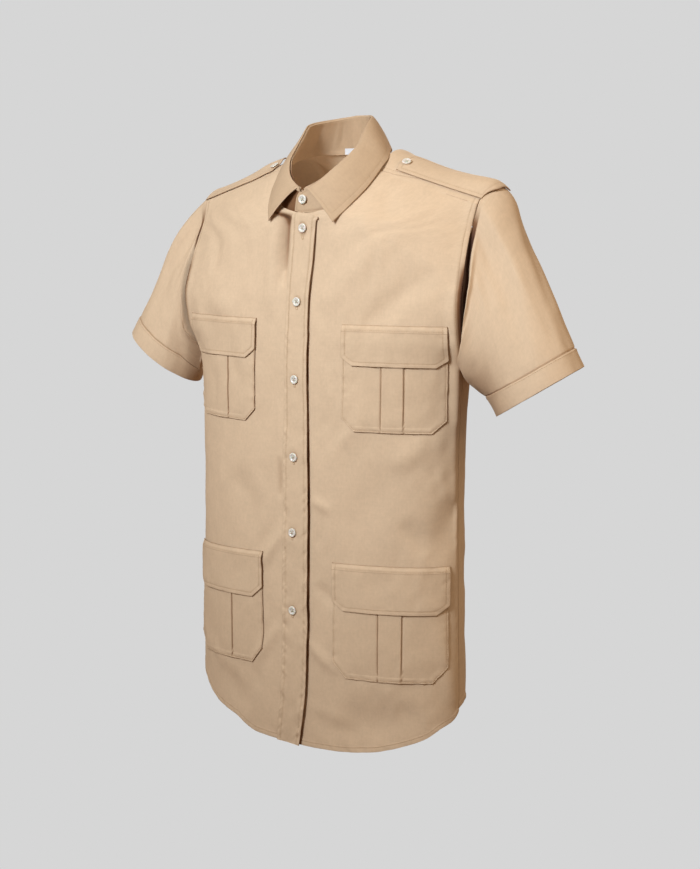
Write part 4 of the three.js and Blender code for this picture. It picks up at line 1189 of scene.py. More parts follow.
# Painted shade in the cloth's colour: the dark gap beside the armhole at the front, the shade of the
# underside, and a dark line where the band turns up.
def sleeve_painted_shade(hem, share, t):
    head = t * SLEEVE_LONG
    gap = smooth((share - 0.015) / 0.07) * smooth((0.42 - share) / 0.1)
    gap = 1.9 * gap * smooth((13 - head) / 3)
    around = (share + 0.5) % 1 - 0.5
    under = 0.32 * bell(around - 0.06, 0.07) * smooth(t / 0.3)
    under = under + hem["shade"] * bell(around - 0.13, 0.1) * smooth((t - 0.3) / 0.5)
    return gap + under + 0.6 * bell((t - BAND_FROM + 0.003) * SLEEVE_LONG, 0.8)


def band_start(hem):
    """The share of a sleeve's length where its turned-up band starts, by the share of the way round."""
    shares = np.linspace(0, 1, 73)
    p = sleeve_plain(hem, shares[:, None], np.linspace(0, 1, 41))
    long = np.linalg.norm(np.diff(p, axis=1), axis=2).sum(axis=1)
    starts = np.clip(1 - HEM_BAND / long, 0.7, 0.92)
    return lambda share: np.interp(share % 1, shares, starts)


def sleeve_surface(hem):
    band_from = band_start(hem)

    def surface(share, t):
        share, t = floats(share, t)
        b = band_from(share)
        along = np.where(t < BAND_FROM, t * b / BAND_FROM, b + (t - BAND_FROM) * (1 - b) / (1 - BAND_FROM))
        s = share * SLEEVE_ROUND
        head, from_end = t * SLEEVE_LONG, (1 - t) * SLEEVE_LONG
        # The turned-up band and the end of the sleeve
        band = 1.15 * smooth((t - BAND_FROM + 0.001) / 0.004)
        rise = band - 0.8 * bell((t - BAND_FROM + 0.004) * SLEEVE_LONG, 1.0) + 0.25 * rolled(from_end, 0.8)
        rise = rise + 0.5 * wander((s + from_end * 0.6) / 9, 51) * bell((t - BAND_FROM) * SLEEVE_LONG, 9)
        # The sleeve's head, and the groove that the armhole seam pulls in before and behind it
        top = bell(share - 0.47, 0.22)
        rise = rise + (0.5 * wander(s / 9, 57) * top + 1.2 * top) * bell(head, 9) * smooth(head / 1.5)
        inner = smooth((share - 0.015) / 0.07) * smooth((0.385 - share) / 0.17)
        behind = smooth((share - 0.62) / 0.1) * smooth((0.98 - share) / 0.1)
        wider = 4.2 * inner * smooth((0.36 - share) / 0.14)
        groove = np.exp(-(((head - 5.2 - wider) / (4.4 + wider)) ** 4)) * smooth(head / 1.2)
        rise = rise - (TRENCH * inner + 4.5 * behind) * groove
        rise = rise + (5 * inner + 2 * behind) * bell(head - 16 - 2 * wider, 7)
        # The fuller top and the sag of the underside
        full, at, wide = hem["full"]
        rise = rise + full * bell(share - 0.5, 0.15) * smooth(head / 14) * bell(head - at, wide)
        deepest, level = hem["sag"]
        sag = deepest * smooth((t - 0.05) / 0.17) * (1 - smooth((t - level) / (0.98 - level)))
        rise = rise + bell((share + 0.5) % 1 - 0.5 - 0.075, 0.085) * sag
        rise = rise + 0.8 * rumpled(s, head, 27) * smooth(head / 20) * smooth(from_end / 30)
        return sleeve_point(hem, share, along, rise)

    return surface


def add_sleeve(name, hem, offset):
    surface = sleeve_surface(hem)
    ts = np.unique(np.concatenate([np.linspace(0, 1, 80), HEAD_LINES / SLEEVE_LONG, BAND_LINES]))
    cloth("sleeve_" + name, surface, np.linspace(0, 1, 141), ts, SHELL, -hem["side"],
          lambda share, t: (share * SLEEVE_ROUND + offset, t * -SLEEVE_LONG), loop=True,
          painted_shade=lambda share, t: sleeve_painted_shade(hem, share, t))
    band_line = [(share, BAND_FROM + 0.012) for share in np.linspace(0, 1, 90)]
    sew("stitching_sleeves", surface, band_line, -hem["side"], 0.002, 0.004)


add_sleeve("left", SLEEVE_HEMS["left"], 2200)
add_sleeve("right", SLEEVE_HEMS["right"], 2700)

# Placket
PLACKET_TOP = -92
PLACKET_LIFT = 0.9
PLACKET_WIDE = 40
EDGE_STITCH = 5.5
# Distance from the centre line and height of each button
PLACKET_BUTTONS = [(4.5, -115.5), (0.5, -189.5), (1, -288), (1, -388), (0, -487), (-0.5, -591)]
placket_low = float(front_hem(0))


def placket_size(u, v):
    h = placket_low + (PLACKET_TOP - placket_low) * v
    right, left = placket_right(h), placket_left(h)
    return right + (left - right) * u, h, right, left


def placket_share(d, h):
    """The place on the placket's grid at a distance from the centre line and a height."""
    u = (d - placket_right(h)) / (placket_left(h) - placket_right(h))
    return u, (h - placket_low) / (PLACKET_TOP - placket_low)


def placket_surface(u, v):
    u, v = floats(u, v)
    d, h, right, left = placket_size(u, v)
    proud = placket_proud(h) * u * u * 1.5 + 0.9 * u**4 * smooth((-105 - h) / 60)
    from_right, from_left = d - right, left - d
    rise = rolled(from_right) + rolled(from_left, 0.8)
    low = smooth((-h - 330) / 200) * 0.5 + 0.6
    for k, e in enumerate((from_right, from_left)):
        ripple = wander((h + e * 0.9) / 6.2, 61 + k) + 0.45 * wander((h - e) / 2.9, 66 + k)
        rise = rise - 0.28 * bell(e - EDGE_STITCH, 1.0)
        rise = rise + low * ripple * bell(e - 4.5, 5.0) * smooth(e / 1.5)
    for button_d, button_h in PLACKET_BUTTONS:
        away = np.hypot(d - button_d, h - button_h)
        angle = np.arctan2(h - button_h, d - button_d)
        puckers = 0.25 + 0.5 * wander(angle * 1.3 + 9, button_h)
        rise = rise - 0.7 * bell(away, 7.0) + bell(away - 12, 6.0) * puckers
    over = h - placket_low
    rise = rise + 0.5 * wander((d + over * 0.7) / 7, 71) * bell(over, 10) * smooth(over / 1)
    soft = 0.5 * wander(h / 38, 73) + 0.3 * wander(h / 17 + d / 30, 74)
    up_neck = np.clip((h - NECK_ROW) / -NECK_ROW, 0, 1)
    in_from_neck = NECK_RING[0] * np.sin(np.radians(YOKE_SIDE_TURN * up_neck))
    straight = np.sign(d) * np.maximum(np.abs(d) - in_from_neck, 0)
    return front_at(straight, h, PLACKET_LIFT + CLOTH + proud + rise + soft)


# Painted shade in the cloth's colour along the placket's edges and stitched lines, and a painted shadow ring
# round each button.
def placket_painted_shade(u, v):
    d, h, right, left = placket_size(u, v)
    deep = 0.8 * bell(left - d, 0.45) + 0.4 * bell(d - right, 0.5)
    for e in (d - right, left - d):
        deep = deep + 0.22 * bell(e - EDGE_STITCH, 0.9)
    for button_d, button_h in PLACKET_BUTTONS:
        deep = deep + 0.5 * bell(np.hypot(d - button_d, h - button_h) - 5.4, 1.5)
    return deep


def placket_place(u, v):
    d, h = placket_size(u, v)[:2]
    return d + 3300, h


placket_us, placket_vs = spread_both(0, 1, 20, EDGE_LINES / PLACKET_WIDE), np.linspace(0, 1, 390)
cloth("placket", placket_surface, placket_us, placket_vs, 1.2, 1, placket_place,
      painted_shade=placket_painted_shade, material=edge_finish)
for near in (EDGE_STITCH / 39, 1 - EDGE_STITCH / 39):
    placket_line = [(near, v) for v in np.linspace(0.004, 0.996, 200)]
    sew("stitching_placket", placket_surface, placket_line, 1, 0.02, 0.002)

# Collar stand and fall
STAND_TALL = 38.0
STAND_LONG = 420
STAND_STITCH = 3
STAND_LINES = np.array([0.6, 1.4, 2.4, 3.2, 4.2, 5.4, 6.8])
FALL_LINES = np.array([0.3, 0.8, 1.6, 2.6, 3.8, 4.8, 5.6, 6.4, 7.6])
FALL_LOW_LINES = np.array([0.3, 0.8, 1.5, 2.6, 3.8, 4.8, 5.6, 6.4, 7.6])
FALL_ROUND = 470.0
FALL_DEEP = 62.0


def stand_surface(u, v):
    u, v = floats(u, v)
    p = stand_point(u, v)
    s, up = u * STAND_LONG, v * STAND_TALL
    inside = 0.9 * wander(s / 12 + up / 50, 81) + 0.4 * wander(s / 5.5 - up / 40, 82)
    rise = inside * np.sin(np.pi * np.clip(v, 0, 1)) * smooth(u * 12) * smooth((OVER_END - u) * 12)
    e = np.minimum(np.minimum(up, STAND_TALL - up), np.minimum(u, OVER_END - u) * STAND_LONG)
    rise = rise + rolled(e) - 0.2 * bell(e - STAND_STITCH, 0.9)
    return p + away_from_neck(p) * rise[..., None]


def stand_painted_shade(u, v):
    """Painted shade at the stitched edge of the over end, and painted shade below the fall on the wearer's
    left.
    """
    up = v * STAND_TALL
    e = np.minimum(np.minimum(up, STAND_TALL - up), (OVER_END - u) * STAND_LONG)
    edge = 0.7 * bell(e, 0.6) + 0.35 * bell(e - STAND_STITCH, 0.7)
    under_collar = smooth((u - 0.04) / 0.02) * smooth((0.2 - u) / 0.08)
    return edge * smooth((u - 0.85) / 0.05) + 1.1 * under_collar


def fall_surface(u, v):
    u, v = floats(u, v)
    du, dv = 0.002, 0.01
    n = -normals_of(fall_point, np.clip(u, du, 1 - du), np.clip(v, dv - FALL["tuck"], 1 - dv), du, dv)
    from_edge, from_end = (1 - v) * FALL_DEEP, np.minimum(u, 1 - u) * FALL_ROUND
    e = np.minimum(from_edge, from_end)
    s = u * FALL_ROUND
    rise = rolled(e, 0.7) - 0.2 * bell(e - EDGE_STITCH, 1.0)
    ripple = 0.3 * wander((s + from_edge) / 8, 91) * bell(from_edge - 5, 5) * smooth(e / 1.5)
    side_ripple = 0.2 * wander(from_edge / 8, 92) * bell(from_end - 5, 5) * smooth(e / 1.5)
    soft = 0.5 * wander(s / 34 + v * 1.5, 93) * np.sin(np.pi * np.clip(v, 0, 1))
    return fall_point(u, v) + n * (rise + ripple + side_ripple + soft)[..., None]


stand_u = spread_both(0, OVER_END, 210, STAND_LINES / STAND_LONG)
stand_v = spread_both(0, 1, 20, EDGE_LINES / STAND_TALL)
cloth("collar_stand", stand_surface, stand_u, stand_v, 1.8, -1,
      lambda u, v: (u * STAND_LONG + 3600, v * STAND_TALL), painted_shade=stand_painted_shade,
      material=collar_shaded_finish)
# The stitches that show round the over end of the stand
for stand_line in (
    [(u, STAND_STITCH / STAND_TALL) for u in np.linspace(0.97, 0.93, 12)],
    [(0.978, v) for v in np.linspace(0.7, 0.25, 8)],
    [(u, 1 - 3.5 / STAND_TALL) for u in np.linspace(0.92, 0.965, 12)],
):
    sew("stitching_collar", stand_surface, stand_line, -1, 0.002, 0.03)

fall_u = spread_both(0, 1, 200, FALL_LINES / FALL_ROUND)
fall_v = spread_with(-FALL["tuck"], 1, 40, (), FALL_LOW_LINES / FALL_DEEP)
cloth("collar_fall", fall_surface, fall_u, fall_v, DOUBLE, -1,
      lambda u, v: (u * FALL_ROUND + 4200, v * FALL_DEEP), material=collar_shaded_finish)
edge_in, end_in = EDGE_STITCH / FALL_DEEP, EDGE_STITCH / FALL_ROUND
for fall_line in (
    [(end_in, v) for v in np.linspace(0.06, 1 - edge_in, 24)],
    [(u, 1 - edge_in) for u in np.linspace(end_in, 1 - end_in, 200)],
    [(1 - end_in, v) for v in np.linspace(1 - edge_in, 0.06, 24)],
):
    sew("stitching_collar", fall_surface, fall_line, -1, 0.002, 0.01)

# Pockets and flaps
PATCH = dict(lift=0.9, mouth=9, stitch=2.2)
FLAP = dict(lift=0.7, over=3.0, rise=9, wider=1, top_stitch=6.5)
SEAM_STEP = 4.0


def edge_distance(x, y, corners):
    """Distance in from the nearest edge of an outline, whose corners run with the inside on the left."""
    found = None
    for a, b in zip(corners, corners[1:] + corners[:1]):
        a, b = np.array(a, float), np.array(b, float)
        way = (b - a) / np.linalg.norm(b - a)
        e = (y - a[1]) * way[0] - (x - a[0]) * way[1]
        found = e if found is None else np.minimum(found, e)
    return found


def inset_line(corners, by):
    """An open line of places drawn inside another at a distance."""
    lines = []
    for a, b in zip(corners, corners[1:]):
        a, b = np.array(a, float), np.array(b, float)
        way = (b - a) / np.linalg.norm(b - a)
        lines.append((a + np.array([-way[1], way[0]]) * by, way))
    places = [lines[0][0]]
    for (p, v), (q, w) in zip(lines, lines[1:]):
        places.append(p + v * (np.cross(q - p, w) / np.cross(v, w)))
    p, v = lines[-1]
    places.append(p + v * ((np.array(corners[-1], float) - p) @ v))
    return places


def finely(places):
    """The same line with its places about a seam step apart."""
    found = []
    for a, b in zip(places, places[1:]):
        n = max(int(np.linalg.norm(np.subtract(b, a)) / SEAM_STEP), 1)
        found += [np.add(a, np.multiply(np.subtract(b, a), k / n)) for k in range(n)]
    return found + [places[-1]]


class Panel:
    """A patch or flap with cut lower corners. Its x runs from its near edge, its y from its lower edge."""

    def __init__(self, pocket, wider, cut, low, tall, offset):
        self.pocket, self.cut, self.low, self.tall, self.offset = pocket, cut, low, tall, offset
        self.side = pocket["side"]
        self.near = pocket["near"] - wider
        self.wide = pocket["far"] + wider - self.near
        self.outline = [(0, tall), (0, cut[1]), (cut[0], 0), (self.wide - cut[0], 0), (self.wide, cut[1]),
                        (self.wide, tall)]

    def inset(self, y):
        return self.cut[0] * np.clip(1 - y / self.cut[1], 0, None)

    def across(self, u, y):
        inset = self.inset(y)
        return inset + (self.wide - 2 * inset) * u

    def edge(self, x, y):
        return edge_distance(x, y, self.outline)

    def surface(self, lift):
        """The panel on its front, with a lift by x and y."""
        def point(u, y):
            u, y = floats(u, y)
            x = self.across(u, y)
            tilted = self.pocket["tilt"] * (self.near + x - self.pocket["near"])
            return front_at(self.side * (self.near + x), self.low + y + tilted, lift(x, y))

        return point

    def place(self, u, y):
        return self.side * (self.near + self.across(u, y)) + self.offset, self.low + y

    def sew(self, surface, places):
        line = []
        for x, y in finely(places):
            inset = self.inset(y)
            line.append(((x - inset) / (self.wide - 2 * inset), y))
        sew("stitching_pockets", surface, line, self.side, 0.004, 0.5)


def add_patch(name, pocket, index):
    """A pocket's patch with the strip of its box pleat. On the right the pleat's far slit hardly shows."""
    tall = pocket["height"] - PATCH["mouth"]
    panel = Panel(pocket, 0, pocket["cut"], pocket["top"] - pocket["height"], tall, 5000 + 300 * index)
    seam = inset_line(panel.outline, PATCH["stitch"])
    seam_lines = list(zip(seam, seam[1:]))
    near_slit, far_slit = (place - pocket["near"] for place in pocket["pleat"])
    far_depth = 1 if panel.side > 0 else 0.15
    far_soft = 0.5 if panel.side > 0 else 9
    seed = 101 + 9 * index

    def lift(x, y):
        e = panel.edge(x, y)
        strip = smooth((x - near_slit) / 0.5) * smooth((far_slit - x) / far_soft)
        open_low = smooth(y / 14)
        trench = bell(x - near_slit + 0.9, 0.9) + far_depth * bell(x - far_slit - 0.9, 0.9)
        rise = 0.8 * strip * (0.6 + 0.4 * open_low) - 1.1 * trench * (0.5 + 0.5 * open_low)
        rise = rise + rolled(e, 0.6) + 0.25 * smooth((7.5 - e) / 0.9)
        rise = rise + stitched(x, y, seam_lines, seed, 0.3, 0.55, 6, 6)
        soft = 1.1 * wander(x / 31 + y / 70 + 3, seed) * wander(y / 34 + x / 90, seed + 1)
        return PATCH["lift"] + CLOTH + rise + soft * smooth(e / 12) + 0.6 * smooth(e / 26)

    # Painted shade in the cloth's colour in the pleat's slits, at the patch's edge and along its stitched
    # line.
    def painted_shade(u, y):
        x = panel.across(u, y)
        e = panel.edge(x, y)
        slits = (1.6 - 0.6 * far_depth) * bell(x - near_slit + 0.7, 0.7)
        slits = slits + far_depth**2 * bell(x - far_slit - 0.7, 0.7)
        return 0.8 * slits + 0.55 * bell(e, 0.45) + 0.2 * bell(e - PATCH["stitch"], 0.6)

    surface = panel.surface(lift)
    by_slits = np.add.outer([near_slit, far_slit], [-2.2, -1.5, -0.9, -0.3, 0.3, 0.9, 1.6]).ravel()
    us = spread_both(0, 1, 54, EDGE_LINES / panel.wide)
    us = np.unique(np.concatenate([us, by_slits / panel.wide]).round(4))
    ys = spread_with(0, tall, 54, (*EDGE_LINES, 6.8, 7.4, 8), (0.4, 1))
    cloth("pocket_" + name, surface, us, ys, 0.8, panel.side, panel.place, painted_shade=painted_shade,
          material=edge_finish)
    panel.sew(surface, seam)


def add_flap(name, pocket, index):
    tall, top_stitch = pocket["flap"], FLAP["top_stitch"]
    panel = Panel(pocket, FLAP["wider"], pocket["flap_cut"], pocket["top"] - tall, tall, 6500 + 300 * index)
    seam = inset_line(panel.outline, EDGE_STITCH)
    seam_lines = list(zip(seam, seam[1:]))
    seed = 141 + 9 * index

    def lift(x, y):
        e = panel.edge(x, y)
        from_top = tall - y
        under = FLAP["lift"] + (FLAP["over"] - FLAP["lift"]) * smooth(from_top / FLAP["rise"])
        top = -0.3 * bell(from_top - top_stitch, 1.0)
        ripple = 0.55 * wander(x / 7 + y / 20, seed) * bell(from_top - 4, 5) * smooth(from_top / 1.5)
        rise = rolled(np.minimum(e, from_top), 0.6) + stitched(x, y, seam_lines, seed + 2, 0.3, 0.42, 5, 7)
        rise = rise + 0.22 * smooth((7 - e) / 0.9) + 0.22 * smooth((8.5 - from_top) / 0.9)
        middle = np.sin(np.pi * np.clip(x / panel.wide, 0, 1))
        bulge = 0.9 * middle * smooth(from_top / 20) * bell(y, 26)
        soft = 0.9 * wander(x / 33 + 1, seed + 4) * wander(y / 22 + x / 80, seed + 5)
        return under + CLOTH + rise + top + ripple + bulge + soft * smooth(e / 10)

    # Painted shade in the cloth's colour at the flap's edges and top, and along its stitched lines.
    def painted_shade(u, y):
        e = panel.edge(panel.across(u, y), y)
        from_top = tall - y
        deep = 0.6 * bell(e, 0.45) + 0.3 * bell(from_top, 0.5)
        return deep + 0.2 * bell(e - EDGE_STITCH, 0.8) + 0.25 * bell(from_top - 8.2, 0.7)

    surface = panel.surface(lift)
    by_edge = np.array([*EDGE_LINES, 4.8, 5.5, 6.2, 7])
    us = spread_both(0, 1, 60, by_edge / panel.wide)
    ys = spread_with(0, tall, 32, by_edge, (*EDGE_LINES, 6, 6.6, 7.4, 8.2, 9))
    cloth("flap_" + name, surface, us, ys, 1.2, panel.side, panel.place, painted_shade=painted_shade,
          material=edge_finish)
    panel.sew(surface, seam)
    panel.sew(surface, [(3, tall - top_stitch), (panel.wide - 3, tall - top_stitch)])


for index, (name, pocket) in enumerate(POCKETS.items()):
    add_patch(name, pocket, index)
    add_flap(name, pocket, index)

# Shoulder straps
STRAP_INNER, STRAP_OUTER = 0.472, 0.994
# Share of the way to the armhole, distance from the yoke's front edge and width
STRAP_SHAPE = [(STRAP_INNER, 9, 39), (0.5, 8, 42), (0.75, 8, 47), (STRAP_OUTER, 8, 50)]
strap_from, strap_wide = curves(STRAP_SHAPE)
RIGHT_STRAP_FORWARD = 6
STRAP_LIFT = 0.9
STRAP_LONG = 120.0
STRAP_WIDE = 50
OVERHANG = 0.1


def yoke_share(w, distance):
    """The share of the way over the yoke at a distance from its front edge, for places of one shape."""
    steps = 30
    t = np.linspace(0, 1, steps + 1)
    p = yoke_plain(w[..., None], t)
    run = np.linalg.norm(np.diff(p, axis=-2), axis=-1).cumsum(axis=-1)
    run = np.concatenate([np.zeros(run.shape[:-1] + (1,)), run], axis=-1)
    flat_run, flat_d = run.reshape(-1, steps + 1), np.broadcast_to(distance, w.shape).ravel()
    found = np.array([np.interp(x, r, t) for x, r in zip(flat_d, flat_run)])
    return found.reshape(w.shape)


def strap_place(side, u, v):
    """Share of the way to the armhole and distance from the yoke's front edge, with the pointed inner end."""
    u, v = floats(u, v)
    w = STRAP_OUTER + (STRAP_INNER - STRAP_OUTER) * u
    distance = strap_from(w) + v * strap_wide(w)
    if side < 0:
        distance = distance - RIGHT_STRAP_FORWARD * smooth((1 - u) / 0.3)
    pointed = 1 - smooth(np.abs(v - 0.5) * 2)
    near_end = np.clip(1 - (1 - u) * 5, 0, 1)
    return w - 0.014 * near_end * (0.2 + 0.8 * pointed), distance


def strap_way(side, v, lift):
    """The way that a strap takes at its outer end, on over the sleeve."""
    w, distance = strap_place(side, 0 * v, v)
    t = yoke_share(w, distance)
    return unit(yoke(side * w, t, lift) - yoke(side * (w - 0.03), t, lift))


# Painted shade in the cloth's colour at the strap's edges and along its stitched line.
def strap_painted_shade(u, v):
    w = strap_place(1, np.maximum(u, 0), v)[0]
    e = np.minimum(np.minimum(v, 1 - v) * strap_wide(w), np.minimum(1 - u, u + OVERHANG) * STRAP_LONG)
    return 0.6 * bell(e, 0.5) + 0.2 * bell(e - EDGE_STITCH, 0.8)


def strap_surface(side):
    def surface(u, v):
        u, v = floats(u, v)
        w, distance = strap_place(side, np.maximum(u, 0), v)
        t = yoke_share(w, distance)
        across = strap_wide(w)
        e = np.minimum(np.minimum(v, 1 - v) * across, (1 - u) * STRAP_LONG)
        rise = rolled(e, 1.0) - 0.28 * bell(e - EDGE_STITCH, 1.0)
        ripple = 0.22 * wander((u * STRAP_LONG + e) / 8, 161 + side)
        rise = rise + ripple * bell(e - 5, 5) * smooth(e / 1.5)
        if side > 0:
            rise = rise + 4.5 * bell(u, 0.4) * smooth(v / 0.5) * (1 - 0.5 * smooth((v - 0.6) / 0.4))
        else:
            rise = rise + 5 * smooth((v - 0.35) / 0.6) * smooth((u - 0.45) / 0.45)
        away = np.hypot((u - 0.9) * STRAP_LONG, (v - 0.5) * across)
        rise = rise - 0.5 * bell(away, 7)
        out = np.clip(-u / OVERHANG, 0, 1) * (3.5 + (12 if side > 0 else 3) * smooth(v / 0.6))
        drop = np.array([0, 0, -1.0]) * (out**2 / (42 if side > 0 else 24))[..., None]
        p = yoke(side * w, t, STRAP_LIFT + DOUBLE + rise)
        return p + strap_way(side, v, 2.5) * out[..., None] + drop

    return surface


def add_strap(name, side):
    surface = strap_surface(side)
    us = spread_with(0, 1, 66, (), EDGE_LINES / STRAP_LONG)
    us = np.concatenate([np.linspace(-OVERHANG, 0, 8)[:-1], us])
    vs = spread_both(0, 1, 30, EDGE_LINES / STRAP_WIDE)
    cloth("strap_" + name, surface, us, vs, 1.6, -side,
          lambda u, v: (u * STRAP_LONG + 8000 + side * 100, v * STRAP_WIDE), painted_shade=strap_painted_shade,
          material=edge_finish)
    inset, first, last = EDGE_STITCH / STRAP_WIDE, 0.01, 0.955
    path = [(u, inset) for u in np.linspace(first, last, 40)]
    path += [(last, v) for v in np.linspace(inset, 1 - inset, 12)]
    path += [(u, 1 - inset) for u in np.linspace(last, first, 40)]
    sew("stitching_straps", surface, path, -side, 0.004, 0.01)


add_strap("left", 1)
add_strap("right", -1)

# Neck label
LABEL = dict(half=19, low=-0.04, high=0.14, gap=0.4, thick=0.6)


def label_surface(u, v):
    u, v = floats(u, v)
    turn = 180 - LABEL["half"] + 2 * LABEL["half"] * u
    p = neck_point(turn, LABEL["low"] + (LABEL["high"] - LABEL["low"]) * v)
    wave = 0.5 * wander(u * 5 + v, 171) * smooth(v * 3)
    return p - away_from_neck(p) * (STAND["thick"] + LABEL["gap"] + LABEL["thick"] + wave * 0.4)[..., None]


cloth("neck_label", label_surface, np.linspace(0, 1, 41), np.linspace(0, 1, 11), 0.5, 1,
      lambda u, v: (u * 48 + 9000, v * 10), material=label_finish, ending="_tape")

# Buttons
BUTTON_HALF = 5.9
# Half of a button's section: distance from the middle and height
BUTTON_LINE = [(0.0, 1.55), (2.9, 1.7), (3.35, 1.8), (3.8, 2.2), (4.3, 2.45), (4.9, 2.42), (5.45, 2.15),
               (5.8, 1.65), (BUTTON_HALF, 1.2), (5.75, 0.8), (5.4, 0.5), (4.6, 0.15), (3.6, 0.0), (0.0, 0.0)]
BUTTON_SIDES = 48
HOLE = dict(half=0.85, out=1.35, sides=16, under=-2, above=6)
BUTTON_GAP = 0.5
# Share of the length and height of the places along a thread
BAR_LINE = [(0, -0.9), (0.12, 0.1), (0.35, 0.35), (0.5, 0.42), (0.65, 0.35), (0.88, 0.1), (1, -0.9)]
BAR = dict(half=0.26, apart=0.28, sides=6, crossed=0.18, lift=1.75)
# Place of each strap's button: share of the way to the armhole, and distance from the yoke's front edge
STRAP_BUTTONS = {"left": (0.495, 26), "right": (0.488, 23)}


def round_points(x, z, half, y, count):
    """A ring of points about an upright line through x and z, at a height y over the button's back."""
    turns = [2 * math.pi * k / count for k in range(count)]
    return [(x + half * math.cos(a), y, z + half * math.sin(a)) for a in turns]


def plain_object(name, points, faces):
    mesh = bpy.data.meshes.new(name)
    mesh.from_pydata(points, [], faces)
    made = bpy.data.objects.new(name, mesh)
    bpy.context.scene.collection.objects.link(made)
    return made


def button_mesh():
    """A rimmed disc with four holes, its face towards +Y."""
    n, rings = BUTTON_SIDES, BUTTON_LINE[1:-1]
    points = [(0, BUTTON_LINE[0][1], 0)]
    for r, y in rings:
        points += round_points(0, 0, r, y, n)
    points.append((0, BUTTON_LINE[-1][1], 0))
    faces, last = [], 1 + (len(rings) - 1) * n
    for k in range(n):
        faces.append((0, 1 + (k + 1) % n, 1 + k))
        faces.append((len(points) - 1, last + k, last + (k + 1) % n))
    disc = plain_object("button_disc", points, faces + tube_faces(len(rings), n, 1))
    cutters = []
    m = HOLE["sides"]
    for x, z in ((1, 1), (1, -1), (-1, 1), (-1, -1)):
        rims = [round_points(x * HOLE["out"], z * HOLE["out"], HOLE["half"], y, m)
                for y in (HOLE["under"], HOLE["above"])]
        walls = [(k, m + k, m + (k + 1) % m, (k + 1) % m) for k in range(m)]
        walls += [tuple(range(m)), tuple(range(2 * m - 1, m - 1, -1))]
        cutters.append(plain_object("button_hole", rims[0] + rims[1], walls))
        cut = disc.modifiers.new("hole", "BOOLEAN")
        cut.operation = "DIFFERENCE"
        cut.object = cutters[-1]
        cut.solver = "EXACT"
    done = bpy.data.meshes.new_from_object(disc.evaluated_get(bpy.context.evaluated_depsgraph_get()))
    for extra in (disc, *cutters):
        bpy.data.objects.remove(extra)
    return done


def thread_bars():
    """Crossed threads through the four holes, as rounded bars in the button's own frame."""
    points, faces = [], []
    n, up = BAR["sides"], np.array([0, 1, 0])
    for level, way_z in enumerate((1, -1)):
        for shift in (-BAR["apart"], BAR["apart"]):
            p = np.array([1, 0, way_z]) * HOLE["out"]
            q = -p
            way = (q - p) / np.linalg.norm(q - p)
            across = np.array([-way[2], 0, way[0]])
            first = len(points)
            for share, high in BAR_LINE:
                middle = p + (q - p) * share + across * shift
                middle[1] = BAR["lift"] + high + BAR["crossed"] * level
                for k in range(n):
                    t = 2 * math.pi * k / n
                    points.append(middle + (across * math.cos(t) + up * math.sin(t)) * BAR["half"])
            faces += [(a, d, c, b) for a, b, c, d in tube_faces(len(BAR_LINE), n, first)]
    return np.array(points), faces


BUTTON_MESH = button_mesh()
BARS, BAR_FACES = thread_bars()


def add_button(name, node, at, out, upward, turn=0.0):
    """A button and its thread at a place, facing out, with a turn about its own middle."""
    y = unit(np.array(out, float))
    x = unit(np.cross(np.array(upward, float), y))
    z = np.cross(x, y)
    spin = np.array([[math.cos(turn), 0, math.sin(turn)], [0, 1, 0], [-math.sin(turn), 0, math.cos(turn)]])
    basis = np.stack([x, y, z], axis=1) @ spin
    own = np.array([v.co[:] for v in BUTTON_MESH.vertices])
    faces = [tuple(p.vertices) for p in BUTTON_MESH.polygons]
    button = make_object(name, own @ basis.T + at, faces, button_finish, sharp=30)
    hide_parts(node)
    thread = make_object(name + "_thread", BARS @ basis.T + at, BAR_FACES, button_thread, sharp=60)


for i, (d, h) in enumerate(PLACKET_BUTTONS, 2):
    u, v = placket_share(np.array(float(d)), np.array(float(h)))
    out = normals_of(placket_surface, u, v, 0.1, 0.006)
    at = placket_surface(u, v) + out * BUTTON_GAP
    tilt, turn = 0.05 * math.sin((i - 2) * 2.3), 0.2 * math.sin((i - 2) * 1.7)
    add_button(f"button_{i}_disc", f"button_{i}", at, out, (tilt, 0, 1), turn)

COLLAR_BUTTON = dict(turn=356.5, high=0.6, gap=BUTTON_GAP + 0.4)
u, v = np.array((STAND["end"] + COLLAR_BUTTON["turn"]) / STAND_TURN), np.array(COLLAR_BUTTON["high"])
out = normals_of(stand_point, u, v, 0.004, 0.05)
out = -out if out[1] > 0 else out
at = stand_surface(u, v) + out * COLLAR_BUTTON["gap"]
add_button("button_1_disc", "button_1", at, out, (0, 0, 1), 0.15)

for name, side in (("left", 1), ("right", -1)):
    w, distance = STRAP_BUTTONS[name]
    t = yoke_share(np.array([w]), np.array([float(distance)]))[0]
    p = yoke(side * w, t, STRAP_LIFT + DOUBLE + BUTTON_GAP - 0.3)
    out = yoke(side * w, t, 10.0) - yoke(side * w, t, 9.0)
    add_button(f"strap_button_{name}_disc", f"strap_button_{name}", p, out, (0, 1, 0), 0.3 * side)

# Buttonholes
BUTTONHOLE = dict(half=1.2, long=15.0, below=2.0, points=48)
# The cord round the slit: distance out from it and height, from inside to outside
CORD = [(-0.45, -0.2), (-0.3, 0.32), (0.15, 0.42), (0.5, 0.25), (0.65, -0.2)]


